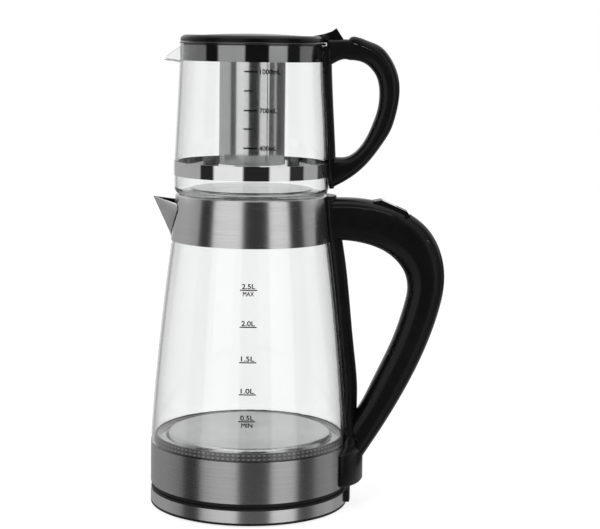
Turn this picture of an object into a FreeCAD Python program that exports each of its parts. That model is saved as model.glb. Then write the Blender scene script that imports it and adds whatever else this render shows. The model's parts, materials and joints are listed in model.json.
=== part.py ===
"""Two-storey tea maker: a glass kettle on a power base, with a glass teapot on its collar.

Millimetres. +Z is up, +X points to the handles and -X to the spouts.
The origin is on the kettle's axis, on the surface that the feet stand on.
"""

import FreeCAD, Part
import math
import os
import re

import Sketcher
from FreeCAD import Placement, Rotation, Vector

DRIVING = [
    # power base
    ("base_radius", 85.0),
    ("foot_height", 1.2),
    ("foot_radius", 8.0),
    ("foot_circle", 66.0),
    ("floor_sheet", 2.0),
    ("lip_height", 2.0),
    ("trim_height", 10.4),
    ("trim_sheet", 0.6),
    ("crown_height", 2.2),
    ("seam_inset", 1.2),
    ("base_wall", 2.0),
    ("outlet_width", 32.0),
    ("outlet_reach", 3.3),
    ("inlet_radius", 3.2),
    ("boss_radius", 20.0),
    ("boss_height", 8.2),
    ("boss_wall", 2.4),
    ("socket_hole_radius", 4.4),
    ("socket_groove_radius", 10.8),
    ("socket_groove_width", 3.6),
    ("contact_sheet", 0.6),
    # coupler under the kettle
    ("coupler_radius", 16.0),
    ("coupler_plate", 4.0),
    ("coupler_pin_radius", 2.2),
    ("coupler_ring_wall", 1.2),
    ("coupler_depth", 7.0),
    ("running_gap", 0.3),
    ("seam_gap", 0.5),
    # kettle foot
    ("skirt_cover", 0.6),
    ("skirt_height", 35.2),
    ("skirt_rise", 3.1),
    ("skirt_sheet", 0.8),
    ("underside_wall", 2.0),
    ("underside_spigot", 5.0),
    ("recess_clearance", 4.0),
    ("recess_headroom", 1.0),
    ("control_radius", 24.0),
    ("control_neck", 18.0),
    ("control_height", 15.0),
    ("spreader_inset", 9.0),
    ("spreader_sheet", 3.0),
    ("element_inset", 12.0),
    ("element_tube", 4.0),
    ("channel_width", 10.1),
    ("plate_rise", 7.9),
    ("plate_step", 5.0),
    ("plate_sheet", 0.8),
    ("gasket_height", 6.6),
    ("gasket_wall", 2.4),
    ("gasket_teeth", 120),
    ("tooth_depth", 0.5),
    # kettle glass and collar
    ("glass_radius", 84.4),
    ("glass_wall", 2.6),
    ("glass_foot", 11.1),
    ("glass_height", 174.1),
    ("glass_bow", 2700.0),
    ("neck_cover", 1.1),
    ("glass_neck_taper", 1.7),
    ("glass_neck_depth", 15.0),
    ("collar_radius", 68.4),
    ("collar_taper", 3.8),
    ("collar_height", 38.6),
    ("collar_sheet", 0.8),
    ("collar_ledge", 9.0),
    ("neck_seal_wall", 0.5),
    ("pour_width", 26.0),
    ("pour_height", 9.0),
    ("spout_reach", 14.6),
    ("spout_half_width", 25.0),
    ("spout_dip", 9.0),
    ("spout_tip_drop", 2.2),
    ("spout_sheet", 0.9),
    ("spout_foot_rise", 0.5),
    ("spout_foot_reach", 0.6),
    ("spout_foot_half_width", 3.0),
    ("spout_foot_round", 1.0),
    ("spout_nose_round", 3.5),
    ("spout_lap", 0.8),
    ("spout_rim_inset", 6.0),
    # kettle handle
    ("strap_gap", 1.2),
    ("collar_clearance", 0.3),
    ("strap_depth", 10.0),
    ("strap_top_depth", 7.4),
    ("strap_edge", 1.6),
    ("strap_half_width", 15.0),
    ("strap_flare", 3.6),
    ("foot_half_width", 34.0),
    ("foot_depth", 13.8),
    ("foot_rise", 29.0),
    ("foot_round", 2.0),
    ("foot_setback", 1.5),
    ("foot_shoulder", 5.0),
    ("foot_shoulder_setback", 2.5),
    ("foot_lap", 1.0),
    ("handle_foot_gap", 0.8),
    ("handle_reach", 97.2),
    ("handle_width", 27.0),
    ("handle_parting", 6.3),
    ("parting_gap", 0.15),
    # switch on the handle
    ("paddle_length", 33.0),
    ("paddle_width", 18.0),
    ("paddle_height", 3.6),
    ("paddle_depth", 4.4),
    ("paddle_travel", 3.0),
    ("paddle_gap", 0.4),
    ("paddle_floor_gap", 0.6),
    ("paddle_nose", 0.4),
    ("paddle_tail_drop", 0.8),
    ("paddle_pin_inset", 2.6),
    ("paddle_pin_rise", 2.4),
    ("paddle_pin_grip", 2.0),
    ("paddle_pin_radius", 1.5),
    ("pin_fit", 0.05),
    ("trim_plate", 0.8),
    ("trim_margin", 1.2),
    # teapot glass
    ("pot_gap", 0.3),
    ("pot_overhang", 0.8),
    ("pot_taper", 4.2),
    ("pot_height", 124.7),
    ("pot_neck", 14.0),
    ("pot_wall", 2.2),
    ("pot_foot_round", 5.0),
    ("pot_foot_land", 4.2),
    ("pot_foot_slope", 5.2),
    ("pot_shoulder", 28.4),
    ("pot_spout_reach", 13.5),
    ("pot_spout_half_width", 11.0),
    ("pot_spout_slope", 0.76),
    ("pot_spout_depth", 15.0),
    ("pot_spout_floor_rise", 2.4),
    ("pot_spout_lap", 3.0),
    ("pot_spout_tip_half_width", 1.54),
    ("pot_spout_edge", 0.4),
    ("band_height", 11.8),
    ("band_rise", 16.1),
    ("band_sheet", 0.6),
    ("band_fit", 0.1),
    # teapot handle
    ("pot_strap_gap", 0.9),
    ("pot_strap_depth", 4.6),
    ("pot_strap_half_width", 15.0),
    ("pot_strap_edge", 1.4),
    ("pot_arm_width", 22.0),
    ("pot_arm_reach", 19.8),
    ("pot_arm_rise", 8.6),
    ("pot_handle_reach", 61.6),
    ("pot_handle_width", 20.0),
    ("slot_width", 12.0),
    ("slot_length", 28.0),
    ("slot_depth", 13.0),
    ("ear_setback", 1.4),
    ("lid_drop", 1.4),
    # infuser
    ("infuser_gap", 0.3),
    ("infuser_sheet", 0.6),
    ("infuser_collar_height", 13.4),
    ("infuser_radius", 28.0),
    ("infuser_length", 87.0),
    ("infuser_flange", 2.0),
    # lid
    ("lid_gap", 0.3),
    ("lid_overhang", 0.4),
    ("lid_rim", 2.0),
    ("lid_groove", 0.3),
    ("lid_shell", 4.6),
    ("lid_dome", 2.2),
    ("lid_wall", 2.0),
    ("lid_step", 0.7),
    ("lid_shoulder", 8.0),
    ("lid_round", 1.6),
    ("lid_plug_height", 3.8),
    ("lid_plug_wall", 3.8),
    ("tab_width", 11.0),
    ("tab_height", 14.9),
    ("hinge_offset", 13.8),
    ("hinge_pin_radius", 1.6),
    ("hinge_drop", 0.3),
    ("hinge_knuckle", 3.4),
    # fasteners
    ("screw_radius", 1.5),
    ("screw_head_radius", 2.9),
    ("screw_head_height", 1.6),
    ("screw_length", 9.0),
]

WORKED_OUT = [
    ("lip_top", "foot_height + lip_height"),
    ("trim_top", "lip_top + trim_height"),
    ("base_top", "trim_top + crown_height"),
    ("trim_seat", "base_radius - trim_sheet - band_fit"),
    ("seam_radius", "base_radius - seam_inset"),
    ("floor_radius", "trim_seat - base_wall - parting_gap"),
    ("boss_top", "base_top + boss_height"),
    ("skirt_radius", "glass_radius + skirt_cover"),
    ("underside_radius", "skirt_radius - seam_inset"),
    ("underside_bottom", "base_top + seam_gap"),
    ("recess_radius", "boss_radius + recess_clearance"),
    ("recess_top", "boss_top + recess_headroom"),
    ("underside_top", "recess_top + underside_wall"),
    ("coupler_top", "underside_top + underside_wall"),
    ("skirt_bottom", "underside_bottom + skirt_rise"),
    ("skirt_top", "skirt_bottom + skirt_height"),
    ("plateau", "skirt_top + plate_rise"),
    ("channel", "plateau - plate_step"),
    ("spreader_top", "plateau - plate_sheet"),
    ("spreader_bottom", "spreader_top - spreader_sheet"),
    ("glass_bottom", "skirt_top + lid_gap"),
    ("gasket_outer", "glass_radius - glass_wall - parting_gap"),
    ("gasket_inner", "gasket_outer - gasket_wall"),
    ("plate_radius", "gasket_inner - parting_gap"),
    ("plateau_radius", "plate_radius - channel_width"),
    ("spreader_radius", "plateau_radius - spreader_inset"),
    ("element_radius", "spreader_radius - element_inset"),
    ("collar_bottom", "skirt_top + glass_height"),
    ("collar_top", "collar_bottom + collar_height"),
    ("collar_top_radius", "collar_radius - collar_taper"),
    ("glass_top", "collar_bottom + glass_neck_depth"),
    ("glass_neck_radius", "collar_radius - neck_cover"),
    ("glass_top_radius", "glass_neck_radius - glass_neck_taper"),
    ("handle_foot", "skirt_bottom + handle_foot_gap"),
    ("pot_radius", "collar_top_radius + pot_overhang"),
    ("pot_neck_radius", "pot_radius - pot_taper"),
    ("pot_bottom", "collar_top + pot_gap"),
    ("pot_rim", "pot_bottom + pot_height"),
    ("band_bottom", "pot_bottom + band_rise"),
    ("infuser_outer", "pot_neck_radius - pot_wall - infuser_gap"),
    ("infuser_top", "pot_rim + infuser_sheet + parting_gap"),
    ("infuser_web", "infuser_top - infuser_collar_height"),
    ("lid_radius", "pot_neck_radius + lid_overhang"),
    ("lid_plug_radius", "infuser_outer - infuser_sheet - lid_gap"),
    ("lid_bottom", "infuser_top + lid_gap"),
    ("lid_top", "lid_bottom + lid_rim + lid_groove + lid_shell + lid_dome"),
    ("hinge_x", "pot_neck_radius + hinge_offset"),
    ("hinge_z", "lid_bottom - hinge_drop"),
    ("arm_top", "pot_rim + pot_arm_rise"),
    ("arm_end", "pot_neck_radius + pot_arm_reach"),
]

# Stations of the two moulded handles, from the top root round to the bottom root: the outer point and the
# inner point of each cross-section, as shares of the handle's reach and height, the section's width as a
# share of the handle's, and how square the section is (2 is an ellipse).
KETTLE_STATIONS = [
    (-0.080, 0.986, -0.080, 0.846, 1.09, 3.6),
    (0.058, 0.992, 0.058, 0.846, 1.09, 3.6),
    (0.274, 0.989, 0.274, 0.837, 1.07, 3.2),
    (0.479, 0.973, 0.428, 0.817, 1.04, 2.8),
    (0.695, 0.936, 0.541, 0.789, 1.01, 2.8),
    (0.872, 0.876, 0.629, 0.750, 1.00, 2.8),
    (0.978, 0.787, 0.671, 0.708, 1.00, 2.8),
    (1.000, 0.703, 0.677, 0.667, 1.00, 2.8),
    (0.960, 0.607, 0.644, 0.607, 1.00, 2.8),
    (0.853, 0.479, 0.562, 0.506, 1.00, 2.8),
    (0.694, 0.341, 0.422, 0.382, 1.00, 2.8),
    (0.511, 0.211, 0.318, 0.294, 1.00, 2.8),
    (0.397, 0.138, 0.263, 0.255, 1.00, 2.8),
    (0.283, 0.065, 0.191, 0.208, 1.00, 2.8),
]
ARM_STATIONS = [
    (-0.100, 0.985, -0.100, 0.810, 1.10, 5.0),
    (0.060, 0.985, 0.060, 0.820, 1.10, 5.0),
    (0.180, 0.985, 0.180, 0.850, 1.10, 5.0),
    (0.322, 0.985, 0.322, 0.855, 1.10, 5.0),
]
TEAPOT_STATIONS = [
    (0.322, 0.988, 0.322, 0.855, 1.10, 5.0),
    (0.350, 1.000, 0.345, 0.855, 1.10, 4.6),
    (0.500, 0.990, 0.443, 0.850, 1.06, 3.6),
    (0.703, 0.954, 0.565, 0.827, 1.00, 2.8),
    (0.898, 0.864, 0.682, 0.768, 1.00, 2.8),
    (1.006, 0.738, 0.738, 0.689, 1.00, 2.8),
    (1.014, 0.618, 0.742, 0.603, 1.00, 2.8),
    (0.955, 0.479, 0.702, 0.509, 1.00, 2.8),
    (0.776, 0.315, 0.557, 0.351, 1.00, 2.8),
    (0.430, 0.134, 0.305, 0.244, 1.00, 2.8),
    (0.230, 0.074, 0.200, 0.240, 1.00, 2.8),
    (0.060, 0.032, 0.060, 0.240, 1.00, 2.8),
]
QUARTER_POINTS = 6

# The strap's thickness down the collar: share of the collar's height, and share of the way from the strap's
# top depth to its full depth.
COLLAR_STRAP_STATIONS = [(1.0, 0.0), (0.45, 0.31), (0.0, 0.77)]
# The teapot strap's sections: share of the pot's height, of the strap's depth and of its half width.
POT_STRAP_STATIONS = [
    (0.0433, 0.783, 0.267),
    (0.1123, 1.087, 0.933),
    (0.2727, 1.087, 1.0),
    (0.5934, 1.0, 1.0),
    (0.9038, 1.0, 1.0),
    (0.9872, 1.0, 1.0),
]
# The spout's sections, as shares of its height.
SPOUT_STATIONS = (0.0, 0.35, 0.7, 1.0)
# The top of the switch: shares of the paddle's length and height. The polished plate spans two of them.
PADDLE_CREST = [(0.17, 1.0), (0.62, 0.72), (0.90, 0.50)]
PLATE_SPAN = [(0.20, 1.0), (0.60, 0.74)]
# The thumb tab's outline: places from the lid's edge or the hinge pin, in knuckle radii, and heights over
# the lid's deck or the pin, as shares of the tab's height.
TAB_ON_DECK = [(-4.2, 0.0), (-0.29, 0.190)]
TAB_FRONT_FOOT = (-2.65, 0.330)
TAB_AT_HINGE = [(-1.47, 1.0), (-0.59, 0.691), (0.18, 0.436), (1.0, 0.067), (1.0, 0.0), (0.0, 0.0),
                (-1.0, 0.040)]
TAB_ROOT = -2.18
ELEMENT_SWEEP = 320

doc = FreeCAD.newDocument("tea_maker")
sizes = doc.addObject("Spreadsheet::Sheet", "sizes")
places = doc.addObject("Spreadsheet::Sheet", "places")
finished = []


# ---------------------------------------------------------------- sheets and expressions

def bind(text):
    """The text with each size or place written as its cell."""
    owner = {name: "sizes" for name, value in DRIVING}
    owner.update({name: "places" for name, formula in WORKED_OUT})

    def cell(match):
        word = match.group()
        return owner[word] + "." + word if word in owner else word

    return re.sub(r"[a-z][a-z_0-9]*", cell, text)


def fill_sheets():
    for row, (name, value) in enumerate(DRIVING, 1):
        sizes.set("A%d" % row, name.replace("_", " "))
        sizes.set("B%d" % row, str(value))
        sizes.setAlias("B%d" % row, name)
    for row, (name, formula) in enumerate(WORKED_OUT, 1):
        places.set("A%d" % row, name.replace("_", " "))
        places.set("B%d" % row, "=" + bind(formula))
        places.setAlias("B%d" % row, name)
    doc.recompute()


def size(text):
    """The value of an expression in sizes and places."""
    return float(sizes.evalExpression(bind(text)))


def drive(item, path, text):
    item.setExpression(path, bind(text))


# ---------------------------------------------------------------- sketches and bodies

def origin_plane(body, role):
    return next(part for part in body.Origin.OriginFeatures if part.Role == role)


def outline(body, name, role, corners):
    """A closed sketch of straight sides on an origin plane; its (across, up) corners are expressions."""
    sketch = body.newObject("Sketcher::SketchObject", name)
    sketch.AttachmentSupport = [(origin_plane(body, role), "")]
    sketch.MapMode = "FlatFace"
    points = [Vector(size(across), size(up), 0) for across, up in corners]
    count = len(corners)
    for index in range(count):
        sketch.addGeometry(Part.LineSegment(points[index], points[(index + 1) % count]), False)
    for index, (across, up) in enumerate(corners):
        sketch.addConstraint(Sketcher.Constraint("Coincident", index, 2, (index + 1) % count, 1))
        for kind, text, value in (("DistanceX", across, points[index].x), ("DistanceY", up, points[index].y)):
            held = sketch.addConstraint(Sketcher.Constraint(kind, -1, 1, index, 1, value))
            drive(sketch, "Constraints[%d]" % held, text)
    return sketch


def new_body(label):
    body = doc.addObject("PartDesign::Body", label)
    body.Label = label
    return body


def turned(label, corners, sweep="360"):
    """A body turned about Z from a half section given as (radius, height) corners."""
    body = new_body(label)
    sketch = outline(body, label + "_section", "XZ_Plane", corners)
    turn = body.newObject("PartDesign::Revolution", label + "_turn")
    turn.Profile = sketch
    turn.ReferenceAxis = (sketch, ["V_Axis"])
    turn.Angle = size(sweep)
    drive(turn, "Angle", sweep)
    return body


def tube_section(outer, inner, low, high):
    return [(inner, low), (outer, low), (outer, high), (inner, high)]


def rectangle(left, right, low, high):
    return [(left, low), (right, low), (right, high), (left, high)]


def keep(item):
    finished.append(item)
    return item


# ---------------------------------------------------------------- primitives and booleans

def cylinder(name, radius, height, across="0", along="0", up="0"):
    item = doc.addObject("Part::Cylinder", name)
    drive(item, "Radius", radius)
    drive(item, "Height", height)
    for axis, text in zip("xyz", (across, along, up)):
        drive(item, "Placement.Base." + axis, text)
    return item


def group(label, items):
    item = doc.addObject("Part::Compound", label)
    item.Label = label
    item.Links = items
    return item


def cut(label, base, tool):
    item = doc.addObject("Part::Cut", label)
    item.Label = label
    item.Base = base
    item.Tool = tool
    return item


def screw_group(label, positions, up):
    """Upright screws: each head stands at height `up`, with its shank above it."""
    screws = []
    for index, (across, along) in enumerate(positions):
        name = "%s_%d" % (label, index + 1)
        head = cylinder(name + "_head", "screw_head_radius", "screw_head_height", across, along, up)
        shank = cylinder(name + "_shank", "screw_radius", "screw_length", across, along,
                         "%s + screw_head_height" % up)
        screw = doc.addObject("Part::Fuse", name)
        screw.Base = head
        screw.Tool = shank
        screws.append(screw)
    return group(label, screws)


def shaped(label, shape):
    """A moulded sub-part whose surface no sketch feature gives."""
    item = doc.addObject("Part::Feature", label)
    item.Label = label
    item.Shape = shape
    item.Placement = Placement()
    return item


def prism(points, half_width):
    """A prism across the handle's plane, from (x, z) points."""
    wire = Part.makePolygon([Vector(x, -half_width, z) for x, z in points + points[:1]])
    return Part.Face(wire).extrude(Vector(0, 2 * half_width, 0))


def block(x_low, x_high, half_width, z_low, z_high):
    return Part.makeBox(x_high - x_low, 2 * half_width, z_high - z_low, Vector(x_low, -half_width, z_low))


def crosswise_rod(radius, length, x, z):
    return Part.makeCylinder(radius, length, Vector(x, -length / 2, z), Vector(0, 1, 0))


def spun(edges):
    """The solid turned about Z from the loose edges of a closed half section."""
    ring = Part.Wire(Part.__sortEdges__(edges))
    return Part.Face(ring).revolve(Vector(), Vector(0, 0, 1), 360)


def one_solid(shape):
    """The largest solid of a boolean's result, without slivers."""
    return max(shape.Solids, key=lambda solid: solid.Volume)


# ---------------------------------------------------------------- power base

def base_housing():
    return keep(turned("base_housing", [
        ("boss_radius + parting_gap", "base_top - base_wall"),
        ("trim_seat - base_wall", "base_top - base_wall"),
        ("trim_seat - base_wall", "foot_height"),
        ("base_radius", "foot_height"),
        ("base_radius", "lip_top"),
        ("trim_seat", "lip_top"),
        ("trim_seat", "trim_top"),
        ("seam_radius", "trim_top"),
        ("seam_radius", "base_top"),
        ("boss_radius + parting_gap", "base_top"),
    ]))


def base_trim_ring():
    """An open ring of sheet steel: its gap is at the cord outlet."""
    gap_angle = "asin((outlet_width / 2 + parting_gap) / base_radius)"
    section = tube_section("base_radius", "base_radius - trim_sheet", "lip_top", "trim_top")
    ring = turned("base_trim_ring", section, "360 deg - 2 * " + gap_angle)
    ring.Placement = Placement(Vector(), Rotation(Vector(0, 0, 1), 1))
    drive(ring, "Placement.Rotation.Angle", gap_angle)
    return keep(ring)


def base_floor():
    return keep(turned("base_floor", [
        ("0", "foot_height"), ("floor_radius", "foot_height"),
        ("floor_radius", "foot_height + floor_sheet"), ("0", "foot_height + floor_sheet")]))


def base_feet():
    corner = "foot_circle * %d * sqrt(0.5)"
    pads = []
    for index, (side, end) in enumerate(((1, 1), (-1, 1), (-1, -1), (1, -1))):
        pads.append(cylinder("foot_pad_%d" % (index + 1), "foot_radius", "foot_height", corner % side,
                             corner % end))
    return keep(group("base_feet", pads))


def base_socket():
    """The round connector in the middle of the base: a pin hole and one ring groove."""
    groove_inner = "socket_groove_radius - socket_groove_width / 2"
    groove_outer = "socket_groove_radius + socket_groove_width / 2"
    groove_floor = "boss_top - coupler_depth - running_gap"
    flange_top = "base_top - base_wall - parting_gap"
    flange_low = "foot_height + floor_sheet"
    return keep(turned("base_socket", [
        ("0", flange_low), ("boss_radius + boss_wall", flange_low), ("boss_radius + boss_wall", flange_top),
        ("boss_radius", flange_top), ("boss_radius", "boss_top"), (groove_outer, "boss_top"),
        (groove_outer, groove_floor), (groove_inner, groove_floor), (groove_inner, "boss_top"),
        ("socket_hole_radius", "boss_top"), ("socket_hole_radius", groove_floor), ("0", groove_floor)]))


def base_contacts():
    """Sprung brass: a sleeve in the pin hole and two strips on the walls of the ring groove."""
    floor = "boss_top - coupler_depth - running_gap"
    rings = []
    for name, outer in (("pin_sleeve", "socket_hole_radius"),
                        ("inner_strip", "socket_groove_radius - socket_groove_width / 2 + contact_sheet"),
                        ("outer_strip", "socket_groove_radius + socket_groove_width / 2")):
        outside = cylinder(name + "_outside", outer, "coupler_depth - 2 * running_gap", up=floor)
        inside = cylinder(name + "_inside", outer + " - contact_sheet", "coupler_depth", up=floor)
        rings.append(cut(name, outside, inside))
    return keep(group("base_contacts", rings))


def cord_outlet():
    """The moulded block in the gap of the trim ring, with the round way in for the cord."""
    disc = cylinder("outlet_disc", "base_radius + outlet_reach", "trim_height", up="lip_top")
    core = cylinder("outlet_core", "trim_seat + parting_gap", "trim_height", up="lip_top")
    span = doc.addObject("Part::Box", "outlet_span")
    drive(span, "Length", "base_radius")
    drive(span, "Width", "outlet_width")
    drive(span, "Height", "trim_height")
    drive(span, "Placement.Base.x", "base_radius / 2")
    drive(span, "Placement.Base.y", "-outlet_width / 2")
    drive(span, "Placement.Base.z", "lip_top")
    inlet = doc.addObject("Part::Cylinder", "outlet_inlet")
    inlet.Placement = Placement(Vector(), Rotation(Vector(0, 1, 0), 90))
    drive(inlet, "Radius", "inlet_radius")
    drive(inlet, "Height", "outlet_reach * 4")
    drive(inlet, "Placement.Base.x", "trim_seat")
    drive(inlet, "Placement.Base.z", "lip_top + trim_height / 2")
    ring = cut("outlet_ring", disc, core)
    piece = doc.addObject("Part::Common", "outlet_piece")
    piece.Base = ring
    piece.Tool = span
    block_with_inlet = cut("cord_outlet", piece, inlet)
    return keep(block_with_inlet)


def base_screws():
    ring = "foot_circle * %s"
    positions = [(ring % "1", "0"), (ring % "(-1)", "0"), ("0", ring % "1"), ("0", ring % "(-1)")]
    return keep(screw_group("base_screws", positions, "foot_height + floor_sheet"))


# ---------------------------------------------------------------- coupler and kettle foot

def kettle_coupler():
    """The round plug under the kettle: a plate with a pin and a ring that reach into the base's socket."""
    low = "boss_top - coupler_depth + running_gap"
    ring_in = "socket_groove_radius - coupler_ring_wall / 2"
    ring_out = "socket_groove_radius + coupler_ring_wall / 2"
    return keep(turned("kettle_coupler", [
        ("0", low), ("coupler_pin_radius", low), ("coupler_pin_radius", "recess_top"),
        (ring_in, "recess_top"), (ring_in, low), (ring_out, low), (ring_out, "recess_top"),
        ("coupler_radius", "recess_top"),
        ("coupler_radius", "coupler_top"), ("0", "coupler_top")]))


def kettle_underside():
    """The black moulded bottom: a flat rim, and a recess that drops over the base's boss."""
    return keep(turned("kettle_underside", [
        ("recess_radius", "underside_bottom"), ("underside_radius", "underside_bottom"),
        ("underside_radius", "skirt_bottom + underside_spigot"),
        ("underside_radius - underside_wall", "skirt_bottom + underside_spigot"),
        ("underside_radius - underside_wall", "underside_bottom + underside_wall"),
        ("recess_radius + underside_wall", "underside_bottom + underside_wall"),
        ("recess_radius + underside_wall", "underside_top"),
        ("coupler_radius + running_gap", "underside_top"),
        ("coupler_radius + running_gap", "recess_top"),
        ("recess_radius", "recess_top")]))


def kettle_skirt():
    """Steel sheet: a straight wall with a ledge turned in under the glass."""
    inner = "skirt_radius - skirt_sheet"
    return keep(turned("kettle_skirt", [
        (inner, "skirt_bottom"), ("skirt_radius", "skirt_bottom"), ("skirt_radius", "skirt_top"),
        ("gasket_inner", "skirt_top"), ("gasket_inner", "skirt_top - skirt_sheet"),
        (inner, "skirt_top - skirt_sheet")]))


def heating_plate():
    """A pressed steel dish: a raised plateau in a sunk ring, with a rim turned up inside the gasket."""
    well = "plateau_radius + plate_step / 2"
    return keep(turned("heating_plate", [
        ("0", "spreader_top"), ("plateau_radius - 2 * plate_sheet", "spreader_top"),
        (well + " - plate_sheet", "channel - plate_sheet"), ("plate_radius", "channel - plate_sheet"),
        ("plate_radius", "channel + gasket_height / 2"),
        ("plate_radius - plate_sheet", "channel + gasket_height / 2"),
        ("plate_radius - plate_sheet", "channel"), (well, "channel"),
        ("plateau_radius", "plateau - plate_sheet"), ("plateau_radius - plate_sheet", "plateau"),
        ("0", "plateau")]))


def heat_spreader():
    return keep(turned("heat_spreader", [
        ("0", "spreader_bottom"), ("spreader_radius", "spreader_bottom"), ("spreader_radius", "spreader_top"),
        ("0", "spreader_top")]))


def heating_element():
    """The sheathed element: most of a ring, with its two cold ends turned down."""
    ring = doc.addObject("Part::Torus", "element_ring")
    drive(ring, "Radius1", "element_radius")
    drive(ring, "Radius2", "element_tube")
    ring.Angle3 = ELEMENT_SWEEP
    drive(ring, "Placement.Base.z", "spreader_bottom - element_tube")
    turned_down = ring
    for name, angle in (("element_end_1", 2), ("element_end_2", ELEMENT_SWEEP - 2)):
        end = cylinder(name, "element_tube * 0.6", "element_tube * 2.5",
                       "element_radius * cos(%d deg)" % angle, "element_radius * sin(%d deg)" % angle,
                       "spreader_bottom - element_tube * 3.5")
        joined = doc.addObject("Part::Fuse", name + "_joined")
        joined.Base = turned_down
        joined.Tool = end
        turned_down = joined
    turned_down.Label = "heating_element"
    return keep(turned_down)


def thermostat_control():
    """The boil-dry and steam control, screwed up against the spreader and carrying the coupler."""
    shoulder = "coupler_top + running_gap + control_height"
    return keep(turned("thermostat_control", [
        ("0", "coupler_top + running_gap"), ("control_radius", "coupler_top + running_gap"),
        ("control_radius", shoulder), ("control_neck", shoulder), ("control_neck", "spreader_bottom"),
        ("0", "spreader_bottom")]))


def plate_gasket():
    """A silicone ring with two rows of teeth on the side that grips the glass."""
    outer = size("gasket_outer")
    inner = size("gasket_inner")
    low = size("skirt_top") + size("parting_gap")
    tall = size("gasket_height")
    teeth = int(size("gasket_teeth"))
    root = outer - size("tooth_depth")
    core = Part.makeCylinder(inner, tall, Vector(0, 0, low))
    rows = Part.makeCylinder(root, tall, Vector(0, 0, low)).cut(core)
    corners = []
    for index in range(2 * teeth):
        angle = math.pi * index / teeth
        radius = outer if index % 2 else root - size("parting_gap")
        corners.append(Vector(radius * math.cos(angle), radius * math.sin(angle), 0))
    star = Part.Face(Part.makePolygon(corners + corners[:1]))
    row_height = tall * 0.36
    for row_low in (low + tall * 0.08, low + tall * 0.56):
        row = star.copy()
        row.translate(Vector(0, 0, row_low))
        rows = rows.fuse(row.extrude(Vector(0, 0, row_height)).cut(core))
    return keep(shaped("plate_gasket", one_solid(rows)))


def underside_screws():
    ring = "(recess_radius + underside_radius) / 2"
    positions = [(ring, "0"), ("-%s / 2" % ring, ring + " * sqrt(0.75)"),
                 ("-%s / 2" % ring, "-%s * sqrt(0.75)" % ring)]
    return keep(screw_group("underside_screws", positions, "underside_bottom + underside_wall"))


# ---------------------------------------------------------------- kettle glass, collar and spout

def kettle_glass():
    """The open glass body: a straight foot, a long bowed taper and a neck that stands up in the collar."""
    low = size("glass_bottom")
    foot_top = size("glass_bottom + glass_foot")
    waist = size("collar_bottom - 2 * glass_wall")
    neck = size("glass_neck_radius - glass_neck_taper / 4")
    top = size("glass_top")
    top_radius = size("glass_top_radius")
    middle = (foot_top + waist) / 2

    def side(offset):
        """The five points up one face of the wall; the middle three lie on the bow."""
        places = [(size("glass_radius"), low), (size("glass_radius"), foot_top), (glass_skin(middle), middle),
                  (glass_skin(waist), waist), (neck, size("collar_bottom")), (top_radius, top)]
        return [Vector(radius - offset, 0, up) for radius, up in places]

    outer = side(0.0)
    inner = side(size("glass_wall"))
    edges = []
    for points in (outer, inner):
        edges += [Part.LineSegment(points[0], points[1]).toShape(), Part.Arc(*points[1:4]).toShape(),
                  Part.LineSegment(points[3], points[4]).toShape(),
                  Part.LineSegment(points[4], points[5]).toShape()]
    edges += [Part.LineSegment(outer[0], inner[0]).toShape(), Part.LineSegment(outer[5], inner[5]).toShape()]
    return keep(shaped("kettle_glass", spun(edges)))


def kettle_collar():
    """Steel sheet: a cone that narrows upwards, with a ledge turned in at the top for the teapot."""
    body = turned("kettle_collar", [
        ("collar_radius - collar_sheet", "collar_bottom"), ("collar_radius", "collar_bottom"),
        ("collar_top_radius", "collar_top - collar_sheet"),
        ("collar_top_radius - collar_sheet", "collar_top"),
        ("collar_top_radius - collar_ledge", "collar_top"),
        ("collar_top_radius - collar_ledge", "collar_top - collar_sheet"),
        ("collar_top_radius - collar_sheet", "collar_top - 2 * collar_sheet")])
    sill = "glass_top + 3 * neck_seal_wall + parting_gap"
    sketch = outline(body, "pour_window_outline", "YZ_Plane",
                     rectangle("-pour_width / 2", "pour_width / 2", sill, sill + " + pour_height"))
    window = body.newObject("PartDesign::Pocket", "pour_window")
    window.Profile = sketch
    window.Length = size("collar_radius + spout_reach")
    drive(window, "Length", "collar_radius + spout_reach")
    doc.recompute()
    return keep(body)


def neck_seal():
    """A silicone channel over the top edge of the glass, inside the collar."""
    outer = "glass_top_radius + neck_seal_wall"
    inner = "glass_top_radius - glass_wall - neck_seal_wall - parting_gap"
    low = "glass_top - 2 * glass_wall"
    high = "glass_top + 3 * neck_seal_wall"
    return keep(turned("neck_seal", [
        (inner, low), (inner, high), ("glass_top_radius - parting_gap", high),
        ("glass_top_radius - parting_gap", "glass_top + parting_gap"),
        (inner + " + neck_seal_wall", "glass_top + parting_gap"), (inner + " + neck_seal_wall", low)]))


def beak_section(up, nose, half_width, root, round_radius):
    """A closed wire at one height: two straight sides that meet in a rounded nose at -X."""
    side = math.atan2(half_width, nose - root)
    run = round_radius / math.tan(side)
    centre = -nose + round_radius / math.sin(side)
    touch = Vector(centre - round_radius * math.sin(side), round_radius * math.cos(side), up)
    far = Vector(touch.x, -touch.y, up)
    near_root = Vector(-root, half_width, up)
    far_root = Vector(-root, -half_width, up)
    nose_arc = Part.Arc(touch, Vector(centre - round_radius, 0, up), far)
    back = Part.LineSegment(far_root, near_root).toShape()
    return Part.Wire([Part.LineSegment(near_root, touch).toShape(), nose_arc.toShape(),
                      Part.LineSegment(far, far_root).toShape(), back])


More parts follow.
